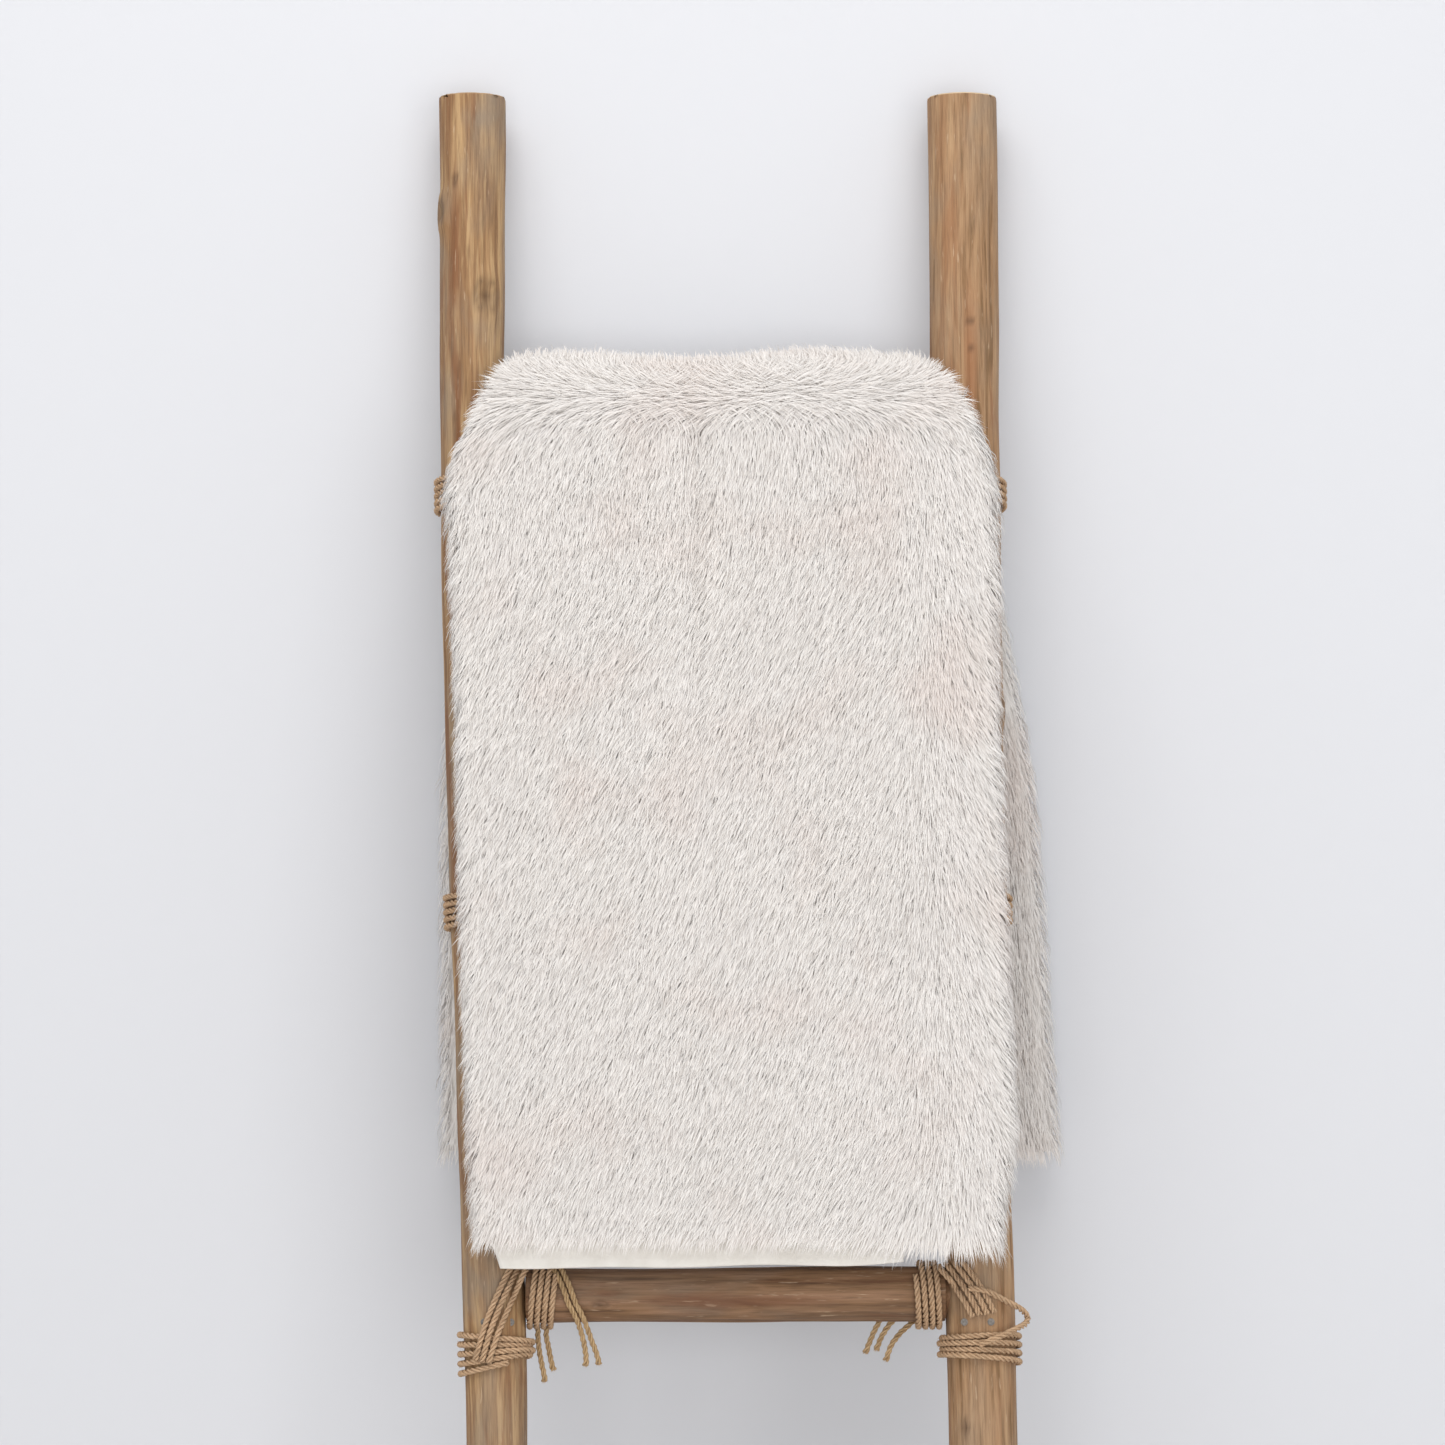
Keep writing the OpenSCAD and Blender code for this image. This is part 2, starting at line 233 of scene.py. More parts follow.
def loose_fibres(routes, diameter, per_metre, seed, tips):
    """Fine stray fibres: thin three-sided slivers that stand off the rope, thicker at a cut end."""
    rng = np.random.default_rng(seed)
    points = []
    for route in routes:
        tangent, across, up = carried_frame(route)
        length = np.linalg.norm(np.diff(route, axis=0), axis=1).sum()
        many = int(per_metre * length)
        at = rng.integers(1, len(route) - 1, many)
        at = np.concatenate([at, np.full(tips, len(route) - 2)])
        splay = np.concatenate([np.zeros(many), np.ones(tips)])
        turn = rng.uniform(0, 2 * math.pi, len(at))
        out = np.cos(turn)[:, None] * across[at] + np.sin(turn)[:, None] * up[at]
        side = np.cross(tangent[at], out)
        size = rng.uniform(0.0014, 0.0034, len(at))
        from_middle = np.where(splay, rng.uniform(0.2, 0.8, len(at)), 0.8)[:, None]
        foot = route[at] + out * (diameter / 2) * from_middle
        lead = np.where(splay, rng.uniform(0.6, 1.0, len(at)), rng.uniform(-1, 1, len(at)))[:, None]
        rise = np.where(splay, 0.35, 0.55)[:, None]
        aim = unit(out * rise + tangent[at] * lead + side * rng.uniform(-0.4, 0.4, (len(at), 1)))
        half = side * FIBRE_HALF_WIDTH
        sliver = np.stack([foot - half, foot + half, foot + aim * size[:, None]], axis=1)
        points.append(sliver.reshape(-1, 3))
    points = np.concatenate(points)
    faces = np.arange(len(points)).reshape(-1, 3)
    fibre = np.zeros_like(points)
    fibre[:, 2] = np.arange(len(points)) * 0.0137
    return points, faces, fibre


def rope_piece(name, routes, diameter, seed, fray, tips, per_metre=320, flare=0.35):
    """One rope object: the strands with their stray fibres."""
    points, faces, fibre = rope_strands(routes, diameter, fray, flare)
    wild, wild_faces, wild_fibre = loose_fibres(routes, diameter, per_metre, seed, tips)
    faces.append(wild_faces + len(points))
    lie = np.concatenate([fibre, wild_fibre])
    piece = mesh_piece(name, np.concatenate([points, wild]), faces, {"fibre": lie})
    only(piece)
    bpy.ops.object.shade_smooth()
    return piece


# %% [markdown]
# ## Materials
# One function turns a hex colour into the linear light that the shader wants, and one adds a
# node with its settings and links. Every finish below is built from these two.

# %% Colour and node helpers
def linear(hex_colour):
    """sRGB hex to linear light."""
    shares = [int(hex_colour[i : i + 2], 16) / 255 for i in (1, 3, 5)]
    return [c / 12.92 if c <= 0.04045 else ((c + 0.055) / 1.055) ** 2.4 for c in shares] + [1]


def new_material(name):
    material = bpy.data.materials.new(name)
    material.use_nodes = True
    material.node_tree.nodes.clear()
    return material


def add(material, kind, inputs=None, stops=None, **settings):
    """Adds a node. An input is a value, or the socket that feeds it. stops: colours of a ramp."""
    made = material.node_tree.nodes.new(kind)
    for label, value in settings.items():
        setattr(made, label, value)
    for label, value in (inputs or {}).items():
        if isinstance(value, bpy.types.NodeSocket):
            material.node_tree.links.new(value, made.inputs[label])
        else:
            made.inputs[label].default_value = value
    for i, (place, colour) in enumerate(stops or []):
        stop = made.color_ramp.elements[i] if i < 2 else made.color_ramp.elements.new(place)
        stop.position = place
        stop.color = linear(colour) if isinstance(colour, str) else (colour, colour, colour, 1)
    return made


def mixed(material, share, first, second, blend="MIX"):
    """Colour between two others."""
    mix = add(material, "ShaderNodeMix", data_type="RGBA", blend_type=blend)
    for socket, value in ((mix.inputs[0], share), (mix.inputs[6], first), (mix.inputs[7], second)):
        if isinstance(value, bpy.types.NodeSocket):
            material.node_tree.links.new(value, socket)
        else:
            socket.default_value = value
    return mix.outputs[2]


def stretched(material, source, scale, detail, factors, roughness=0.5, distortion=0.0):
    """Noise drawn out by three factors."""
    place = add(material, "ShaderNodeMapping", {"Vector": source, "Scale": factors}).outputs[0]
    settings = {"Vector": place, "Scale": scale, "Detail": detail}
    settings.update({"Roughness": roughness, "Distortion": distortion})
    return add(material, "ShaderNodeTexNoise", settings).outputs[0]


def ramp(material, share, *stops):
    """Colours or greys picked by a share. Each stop is a place and a hex colour or a grey."""
    return add(material, "ShaderNodeValToRGB", {"Fac": share}, stops).outputs[0]


def bumped(material, height, strength, distance):
    settings = {"Height": height, "Strength": strength, "Distance": distance}
    return add(material, "ShaderNodeBump", settings).outputs[0]


def principled(material, colour, roughness, **more):
    """A principled surface. more: any further inputs, with _ for each space."""
    inputs = {label.replace("_", " "): value for label, value in more.items()}
    inputs.update({"Base Color": colour, "Roughness": roughness})
    return add(material, "ShaderNodeBsdfPrincipled", inputs)


def finished(material, shader):
    add(material, "ShaderNodeOutputMaterial", {"Surface": shader.outputs[0]})
    print("material", material.name)
    return material


# %% [markdown]
# ### Jute rope
# Jute is a dry bast fibre, spun and laid without any finish. The eye sees golden-brown strands,
# darker in the grooves, with hair-fine fibres that run along each strand. There is no gloss.
# The fibres are about 0.4 mm apart, drawn from a coordinate that follows each strand.

# %% Jute rope material
def jute(name, light, dark):
    """Jute: matt, fibrous, darker between its fibres."""
    material = new_material(name)
    lie = add(material, "ShaderNodeAttribute", attribute_name="fibre").outputs["Vector"]
    threads = stretched(material, lie, 2400, 3, (1, 1, 0.09), 0.6)
    patches = stretched(material, lie, 60, 2, (1, 1, 1))
    thread_tone = ramp(material, threads, (0.3, dark), (0.66, light))
    worn = ramp(material, patches, (0.35, 0.82), (0.65, 1.0))
    tone = mixed(material, 1.0, thread_tone, worn, "MULTIPLY")
    bump = bumped(material, threads, 0.5, 0.0004)
    return finished(material, principled(material, tone, 0.92, Specular_IOR_Level=0.2, Normal=bump))


jute_rope = jute("jute_rope", "#E0BE9A", "#A07E60")
jute_tail = jute("jute_rope_end", "#D8B98F", "#9A784F")

# %% [markdown]
# ## Loose rope ends
# Eleven cut ends hang from the two lower lashings. Each is a real length of rope, built along a
# route given from the post at its rung, and its solid in the frame is hidden.

# %% Loose rope ends
TAIL_D = 0.005
TAIL_ROUTES = {
    ("tail_3_left_a", LEFT, 3): [
        (37, 0, -27), (37, 1, -36), (38, 1, -46), (40, 0, -57), (42, -1, -66), (43, -1, -73)
    ],
    ("tail_3_left_b", LEFT, 3): [(44, 2, -27), (44, 3, -36), (46, 3, -46), (48, 2, -56), (50, 2, -64)],
    ("tail_3_left_c", LEFT, 3): [
        (50, -10, 24.5), (55, -19, 18), (60, -25, 8), (64, -27, -3), (69, -25, -13),
        (73, -21, -24), (76, -18, -36), (78, -16, -48), (78, -16, -57),
    ],
    ("tail_3_left_d", LEFT, 3): [
        (50, -2, 26.5), (56, -10, 25), (61, -20, 18), (66, -25.5, 8), (70, -27, -3),
        (75, -25, -13), (79, -21, -24), (83, -18, -36), (87, -16, -47), (89, -16, -56),
    ],
    ("tail_3_right_a", RIGHT, 3): [
        (-50, 27, 6), (-62, 27, -4), (-73, 25, -14), (-82, 23, -25), (-89, 21, -38), (-95, 20, -53)
    ],
    ("tail_3_right_b", RIGHT, 3): [
        (-50, 25, -10), (-62, 23, -18), (-73, 20, -27), (-81, 18, -38), (-86, 18, -50)
    ],
    ("tail_3_right_c", RIGHT, 3): [
        (-50, 17, -21), (-58, 15, -28), (-67, 13, -36), (-74, 12, -46), (-78, 12, -58)
    ],
    ("tail_4_left_a", LEFT, 4): [(36, 0, -27), (36, 1, -36), (35, 1, -46), (36, 1, -56), (38, 0, -65)],
    ("tail_4_left_b", LEFT, 4): [(44, 2, -27), (45, 3, -36), (46, 3, -47), (45, 3, -58), (43, 2, -70)],
    ("tail_4_right_a", RIGHT, 4): [
        (-38, 1, -27), (-38, 2, -36), (-39, 2, -46), (-41, 1, -57), (-42, 1, -68)
    ],
    ("tail_4_right_b", RIGHT, 4): [
        (-46, 2, -27), (-47, 3, -36), (-49, 3, -46), (-50, 3, -56), (-50, 3, -63)
    ],
}
for seed, ((name, side, k), offsets) in enumerate(TAIL_ROUTES.items()):
    base = leaned(post_x(side, RUNG_AT[k]), 0, RUNG_AT[k])
    points = [tuple(base[i] + o[i] / 1000 for i in range(3)) for o in offsets]
    route = smooth_route(points, 0.0013)
    tail = rope_piece(
        name + "_rope", [route], TAIL_D, 40 + seed, fray=0.006, tips=60, per_metre=420, flare=0.75
    )
    tail.data.materials.append(jute_tail)
    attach(tail, "ladder")
    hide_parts(name)

# %% [markdown]
# ## Peeled, weathered wood
# The posts are branches that were peeled with a knife and left to grey. The eye sees fine dark
# grain running up the wood, tan and grey patches as broad as a hand, and a dry surface. The
# grain follows the wood's own coordinate, `grain`, which is the place on a straightened branch.

# %% Peeled wood material
def peeled_wood(name, pale, tan, dark, stain, grey, bump_depth, blotch=1.0):
    """Peeled branch wood: dry, fine-grained, greyed in patches."""
    material = new_material(name)
    grain = add(material, "ShaderNodeAttribute", attribute_name="grain").outputs["Vector"]
    mark = add(material, "ShaderNodeAttribute", attribute_name="mark").outputs["Vector"]
    fine = stretched(material, grain, 900, 4, (1, 1, 0.035), 0.65)
    streak = stretched(material, grain, 170, 4, (1, 1, 0.05), 0.6, 0.4)
    patch = stretched(material, grain, 16, 3, (1, 1, 0.45), 0.55, 0.6)
    ends = ((0.47 - 0.15 * blotch, dark), (0.47 + 0.18 / blotch, pale))
    tone = ramp(material, streak, *ends, (0.47, tan))
    greyed = ramp(material, patch, (0.48 - 0.03 * blotch, 0.0), (0.66, 0.6 * blotch))
    body = mixed(material, greyed, tone, linear(grey))
    flame = stretched(material, grain, 34, 4, (1, 1, 0.12), 0.6, 1.2)
    rusty = ramp(material, flame, (0.56 - 0.03 * blotch, 0.0), (0.66, 0.6 * blotch))
    body = mixed(material, rusty, body, linear(stain))
    flecks = stretched(material, grain, 420, 2, (1, 1, 0.12), 0.5)
    pale_fleck = ramp(material, flecks, (0.66, 0.0), (0.74, 0.45))
    body = mixed(material, pale_fleck, body, linear("#CDB294"))
    lines = ramp(material, fine, (0.36, 0.66), (0.52, 1.0))
    body = mixed(material, 0.7, body, lines, "MULTIPLY")
    parts = add(material, "ShaderNodeSeparateXYZ", {"Vector": mark})
    body = mixed(material, parts.outputs[0], body, linear(stain))
    body = mixed(material, parts.outputs[1], body, linear("#4A3526"))
    height = add(material, "ShaderNodeMath", {0: fine, 1: streak}, operation="ADD")
    bump = bumped(material, height.outputs[0], 0.7, bump_depth)
    dry = add(material, "ShaderNodeMapRange", {"Value": patch, "To Min": 0.58, "To Max": 0.82})
    skin = principled(material, body, dry.outputs[0], Specular_IOR_Level=0.3, Normal=bump)
    return finished(material, skin)


WOOD_TONES = {  # pale, tan, dark, stain, grey
    "left": ("#B9966C", "#9A7651", "#704D31", "#7F5233", "#8E7D6B"),
    "right": ("#B7946F", "#A07C5A", "#80603F", "#94623F", "#948472"),
    "rung": ("#9A765A", "#846346", "#5C4230", "#724A33", "#7F6C5C"),
}
left_wood = peeled_wood("peeled_left_post_wood", *WOOD_TONES["left"], 0.0009, 1.4)
right_wood = peeled_wood("peeled_right_post_wood", *WOOD_TONES["right"], 0.0008, 0.8)
rung_wood = peeled_wood("peeled_rung_wood", *WOOD_TONES["rung"], 0.0008)


# %% Sawn end material
def sawn_end(name):
    """End grain: growth rings about 2 mm apart round the pith, paler than the bark side."""
    material = new_material(name)
    grain = add(material, "ShaderNodeAttribute", attribute_name="grain").outputs["Vector"]
    rings = add(
        material,
        "ShaderNodeTexWave",
        {"Vector": grain, "Scale": 75, "Distortion": 2.5, "Detail": 2, "Detail Scale": 1.2},
        wave_type="RINGS",
        rings_direction="Z",
    )
    tone = ramp(material, rings.outputs[1], (0.1, "#A98A69"), (0.9, "#CDB493"))
    bump = bumped(material, rings.outputs[1], 0.4, 0.0005)
    return finished(material, principled(material, tone, 0.85, Specular_IOR_Level=0.2, Normal=bump))


end_grain = sawn_end("sawn_end_grain")

# %% [markdown]
# ## The posts
# A branch could be a bent cylinder, but its outline would stay too even. Here a round disc at
# the foot is extruded ring by ring up the branch's own curve. Subdivision smooths the rings,
# and then each point moves along its normal: long swellings, shallow grooves with the grain,
# and a few knots where twigs were cut off.

# %% Rings along a branch
def picked(piece, test):
    """Selects the faces of a piece in edit mode by a test on their centre and normal."""
    bpy.ops.object.mode_set(mode="OBJECT")
    for polygon in piece.data.polygons:
        polygon.select = test(polygon.center, polygon.normal)
    bpy.ops.object.mode_set(mode="EDIT")


END_RING = 0.0025  # an extra ring this far from each end keeps the end crisp


def branch(name, centre, radius, start, end, rings, sides=24):
    """A closed round bar, extruded ring by ring up a centre line, in the upright frame."""
    bpy.ops.object.select_all(action="DESELECT")
    x, depth = centre(start)
    bpy.ops.mesh.primitive_circle_add(
        vertices=sides, radius=radius(start), fill_type="NGON", location=(x, depth, start)
    )
    piece = bpy.context.object
    piece.name = name
    bpy.ops.object.transform_apply()
    bpy.ops.object.mode_set(mode="EDIT")
    bpy.ops.mesh.select_all(action="SELECT")
    heights = np.linspace(start, end, rings + 1)
    heights = np.concatenate([[start, start + END_RING], heights[1:-1], [end - END_RING, end]])
    for low, high in zip(heights, heights[1:]):
        a, b = centre(low), centre(high)
        bpy.ops.mesh.extrude_region_move(
            TRANSFORM_OT_translate={"value": (b[0] - a[0], b[1] - a[1], high - low)}
        )
        grow = radius(high) / radius(low)
        bpy.ops.transform.resize(value=(grow, grow, 1), center_override=(b[0], b[1], high))
    bpy.ops.mesh.select_all(action="SELECT")
    bpy.ops.mesh.normals_make_consistent(inside=False)
    bpy.ops.object.mode_set(mode="OBJECT")
    return piece


def rounded_ends(piece, start, end, size):
    """Both ends inset, so that subdivision keeps a small round edge."""
    for height in (start, end):
        picked(piece, lambda c, n: abs(c.z - height) < 1e-4 and abs(n.z) > 0.9)
        bpy.ops.mesh.inset(thickness=size)
        bpy.ops.mesh.inset(thickness=size * 2)
        bpy.ops.object.mode_set(mode="OBJECT")


def subdivided(piece, levels):
    bpy.context.view_layer.objects.active = piece
    smooth = piece.modifiers.new("subdivision", "SUBSURF")
    smooth.levels = levels
    smooth.render_levels = levels
    bpy.ops.object.modifier_apply(modifier=smooth.name)


# %% Wood grain, swellings and knots
def weathered(piece, centre, knots, stains, seed, swell, groove):
    """Moves each point along its normal, and stores the straightened place and the marks."""
    mesh = piece.data
    shift = Vector((seed * 3.7, seed * 1.9, seed * 5.3))
    grain = np.zeros((len(mesh.vertices), 3), np.float32)
    mark = np.zeros((len(mesh.vertices), 3), np.float32)
    normals = [v.normal.copy() for v in mesh.vertices]
    for i, vertex in enumerate(mesh.vertices):
        x, depth = centre(vertex.co.z)
        flat = Vector((vertex.co.x - x, vertex.co.y - depth, vertex.co.z))
        grain[i] = flat
        slow = Vector((flat.x * 14, flat.y * 14, flat.z * 9)) + shift
        quick = Vector((flat.x * 210, flat.y * 210, flat.z * 9)) + shift
        move = swell * noise.noise(slow) - groove * max(0, noise.noise(quick) - 0.05) * 2
        turn = math.atan2(flat.y, flat.x)
        for knot_turn, knot_z, size, rise in knots:
            away = math.remainder(turn - knot_turn, 2 * math.pi) * math.hypot(flat.x, flat.y)
            gap = math.hypot(away, (flat.z - knot_z) * 0.7) / size
            if gap < 3:
                ring = math.exp(-((gap - 0.75) ** 2) * 5)
                move += rise * ring - 0.5 * rise * math.exp(-(gap**2) * 8)
                swirl = 0.45 * math.exp(-((gap - 0.62) ** 2) * 40)
                mark[i][1] = max(mark[i][1], 0.75 * math.exp(-(gap**2) * 7), swirl)
        for stain_turn, low, high, size in stains:
            away = math.remainder(turn - stain_turn, 2 * math.pi) * math.hypot(flat.x, flat.y)
            inside = max(0, 1 - (away / size) ** 2)
            if low < flat.z < high:
                fade = math.sin(math.pi * (flat.z - low) / (high - low))
                mark[i][0] = max(mark[i][0], inside * 0.7 * fade)
        vertex.co += normals[i] * move
    for label, values in (("grain", grain), ("mark", mark)):
        layer = mesh.attributes.new(label, "FLOAT_VECTOR", "POINT")
        layer.data.foreach_set("vector", values.ravel())


def lean_back(piece):
    """Turns a piece from the upright frame to the ladder's lean, and applies it."""
    only(piece)
    piece.rotation_euler = (-LEAN, 0, 0)
    bpy.ops.object.transform_apply(location=True, rotation=True, scale=True)
    bpy.ops.object.shade_smooth_by_angle(angle=math.radians(42))


# %% The two posts
FRONT = -math.pi / 2
BELOW_FLOOR = -0.03  # the leaning branch starts here, and is cut level just above the floor
FLOOR_CUT = 0.0005
SAWN_Z = leaned(0, 0, POST_LEN)[2] - 0.001  # the front of each square-sawn top is eased level
POST_MARKS = {
    LEFT: {
        "knots": [
            (FRONT + 0.5, 1.502, 0.0165, 0.0022), (FRONT - 1.15, 1.585, 0.012, 0.0026),
            (FRONT + 0.5, 0.47, 0.007, 0.0012), (FRONT + 2.2, 0.86, 0.009, 0.0018),
            (FRONT - 0.5, 1.612, 0.0055, 0.0008), (FRONT + 2.9, 1.18, 0.008, 0.0015),
        ],
        "stains": [(FRONT - 0.6, 0.3, 0.44, 0.005)],
    },
    RIGHT: {
        "knots": [
            (FRONT + 0.1, 1.478, 0.0048, 0.0008), (FRONT + 0.15, 1.452, 0.0042, 0.0007),
            (FRONT + 1.2, 1.13, 0.009, 0.0018), (FRONT - 0.6, 0.52, 0.0065, 0.0012),
            (FRONT + 2.6, 0.74, 0.009, 0.0018), (FRONT - 2.3, 0.33, 0.008, 0.0014),
        ],
        "stains": [(FRONT + 0.12, 1.36, 1.53, 0.0075), (FRONT + 0.5, 0.3, 0.46, 0.005)],
    },
}
for side, label in ((LEFT, "left"), (RIGHT, "right")):
    centre = lambda s: (post_x(side, max(0, s)), post_depth(side, max(0, s)))
    radius = lambda s: post_r(side, max(0, s))
    post = branch(label + "_post_branch", centre, radius, BELOW_FLOOR, POST_LEN, 70)
    rounded_ends(post, BELOW_FLOOR, POST_LEN, 0.0016)
    subdivided(post, 2)
    weathered(post, centre, seed=3 + side, swell=0.0016, groove=0.0009, **POST_MARKS[side])
    lean_back(post)
    bpy.ops.object.mode_set(mode="EDIT")
    bpy.ops.mesh.select_all(action="SELECT")
    level = {"plane_no": (0, 0, 1), "use_fill": True}
    bpy.ops.mesh.bisect(plane_co=(0, 0, FLOOR_CUT), clear_inner=True, **level)
    bpy.ops.mesh.select_all(action="SELECT")
    bpy.ops.mesh.bisect(plane_co=(0, 0, SAWN_Z), clear_outer=True, **level)
    bpy.ops.mesh.bevel(offset=0.0011, segments=2)
    bpy.ops.object.mode_set(mode="OBJECT")
    post.data.materials.append(left_wood if side == LEFT else right_wood)
    post.data.materials.append(end_grain)
    for polygon in post.data.polygons:
        at_top = polygon.center.z > SAWN_Z - 0.0012
        at_foot = polygon.center.z < 0.001 and polygon.normal.z < -0.8
        polygon.material_index = 1 if at_top or at_foot else 0
    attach(post, "ladder")
    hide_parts(label + "_post")
    print(post.name, len(post.data.polygons), "faces")

# %% [markdown]
# ## The rungs
# Each rung is a thinner branch that lies across. It is made upright like a post, narrowed to
# its tenon at both ends, and then turned on its side.

# %% The four rungs
TENON_R = 0.014
TENON_LEN = 0.020
SHOULDER_GAP = 0.0003


def inner_x(side, along):
    return post_x(side, along) - side * post_r(side, along)


for k, along in RUNG_AT.items():
    faces_left = [inner_x(LEFT, along + d) for d in (-RUNG_R, 0, RUNG_R)]
    faces_right = [inner_x(RIGHT, along + d) for d in (-RUNG_R, 0, RUNG_R)]
    x0, x1 = max(faces_left) + SHOULDER_GAP, min(faces_right) - SHOULDER_GAP
    tip0, tip1 = inner_x(LEFT, along) - TENON_LEN, inner_x(RIGHT, along) + TENON_LEN

    def rung_centre(x, phase=k):
        return (0.0007 * math.sin(9 * x + phase), 0.0006 * math.sin(7 * x + 2 * phase))

    def rung_radius(x, a=x0, b=x1, phase=k):
        return RUNG_R + 0.0006 * math.sin(2 * math.pi * (x - a) / (b - a) + phase)

    rung = branch(f"rung_{k}_branch", rung_centre, rung_radius, x0, x1, 24)
    for end, tip in ((x0, tip0), (x1, tip1)):
        picked(rung, lambda c, n: abs(c.z - end) < 1e-4 and abs(n.z) > 0.9)
        bpy.ops.mesh.inset(thickness=0.0008)
        bpy.ops.mesh.inset(thickness=rung_radius(end) - 0.0008 - TENON_R)
        bpy.ops.mesh.extrude_region_move(TRANSFORM_OT_translate={"value": (0, 0, tip - end)})
        bpy.ops.mesh.inset(thickness=0.002)
        bpy.ops.object.mode_set(mode="OBJECT")
    subdivided(rung, 2)
    turn = FRONT + 0.7 * math.sin(k * 2.3)
    rung_knots = [(turn, 0.11 * math.sin(k * 1.7), 0.006, 0.001), (turn + 2.0, -0.06, 0.006, 0.001)]
    rung_stains = [(FRONT + 0.3, -0.15 + 0.03 * k, 0.02 + 0.03 * k, 0.006)]
    weathered(rung, rung_centre, rung_knots, rung_stains, 10 + k, 0.0008, 0.0007)
    only(rung)
    rung.rotation_euler = (0, math.pi / 2, 0)
    rung.location = (0, 0, along)
    bpy.ops.object.transform_apply(location=True, rotation=True, scale=True)
    lean_back(rung)
    rung.data.materials.append(rung_wood)
    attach(rung, "ladder")
    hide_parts(f"rung_{k}")
    print(rung.name, [round(float(c), 4) for c in rung.dimensions])

# %% [markdown]
# ## Lashings
# At each rung end one rope is wound four turns round the rung and a few turns round the post
# below it. Two or three strands then slant across the front and end in cut tips under a nail.
# The slanting strands have to lie on whatever is under them, so a small function gives the
# front of the wood and rope at any spot.

# %% Routes of a lashing
GAP = 0.0005  # between rope and wood
TURN = 0.00575  # from one rope turn to the next
ROUTE_STEP = 0.0018
WRAP_R = RUNG_R + 0.0008 + GAP + ROPE_D / 2
BAND_DROP = 0.0308 + TURN / 2
POST_TURNS = {LEFT: 5, RIGHT: 4}


def first_turn_x(side, along):
    faces = [inner_x(side, along + d) for d in (-WRAP_R, 0, WRAP_R)]
    return (max(faces) if side == LEFT else min(faces)) - side * (GAP + ROPE_D / 2)


def rung_turns(side, k, turns=4):
    """A helix round the rung, beside the post."""
    along = RUNG_AT[k]
    x0 = first_turn_x(side, along)
    points = []
    for i in range(turns * 16 - 3):
        wind = i / 16
        turn = 2 * math.pi * wind + 2.2
        slip = 0.0022 * math.sin(turn) if k == 3 and side == LEFT else 0.0006 * math.sin(turn + k)
        x = x0 - side * (TURN * wind) + slip
        points.append(leaned(x, -WRAP_R * math.cos(turn), along + WRAP_R * math.sin(turn)))
    return points


def band_turns(side, k):
    """A helix round the post, fanned a little on its outer side."""
    top = RUNG_AT[k] - BAND_DROP
    points = []
    for i in range(POST_TURNS[side] * 18 - 4):
        wind = i / 18
        turn = 2 * math.pi * wind + (0.6 if side == LEFT else 2.6)
        outer = math.cos(turn) * side
        fan = 0.1
        if k == 3:
            fan = 0.4 if side == LEFT else 0.22
        slipped = 0.002 * (fan > 0.2) * (1 - outer)
        height = top - TURN * (wind - 0.45) * (1.0 + fan * outer) - slipped
        over = (math.floor(wind + 0.5) % 2) * (1 - outer) * 0.5
        reach = post_r(side, height) + GAP + ROPE_D / 2 + (0.0022 if k == 3 else 0.0008) * over
        x = post_x(side, height) + reach * math.cos(turn)
        points.append(leaned(x, post_depth(side, height) + reach * math.sin(turn), height))
    return points


def front_of(side, k, x, along):
    """Depth of the front of post, rung turns or post turns at a spot, towards the eye."""
    across = x - post_x(side, along)
    bare = post_r(side, along) + GAP
    top = RUNG_AT[k] - BAND_DROP
    low = top - TURN * (POST_TURNS[side] - 0.3)
    if low - 0.002 < along < top + TURN:
        bare += ROPE_D
    front = math.sqrt(max(0, bare**2 - across**2))
    from_rung = along - RUNG_AT[k]
    wrapped = (x - first_turn_x(side, RUNG_AT[k])) * -side > -0.006
    if wrapped and abs(from_rung) < WRAP_R + ROPE_D / 2:
        front = max(front, math.sqrt((WRAP_R + ROPE_D / 2) ** 2 - from_rung**2))
    return -front - ROPE_D / 2


def slant(side, k, start, end, bow):
    """A strand across the front. Both spots are given across and along from the post at its rung."""
    middle, along = post_x(side, RUNG_AT[k]), RUNG_AT[k]
    points = []
    for u in np.linspace(0, 1, 11):
        x = middle + start[0] + (end[0] - start[0]) * u + bow * math.sin(math.pi * u)
        s = along + start[1] + (end[1] - start[1]) * u
        points.append([x, front_of(side, k, x, s), s])
    depths = [p[1] for p in points]
    for i in range(1, len(points) - 1):
        points[i][1] = min(depths[i], (depths[i - 1] + depths[i + 1]) / 2)
    x, depth, s = points[0]
    tucked = leaned(x - side * 0.0015, depth + 0.011, s + 0.004)
    return [tucked] + [leaned(*p) for p in points]


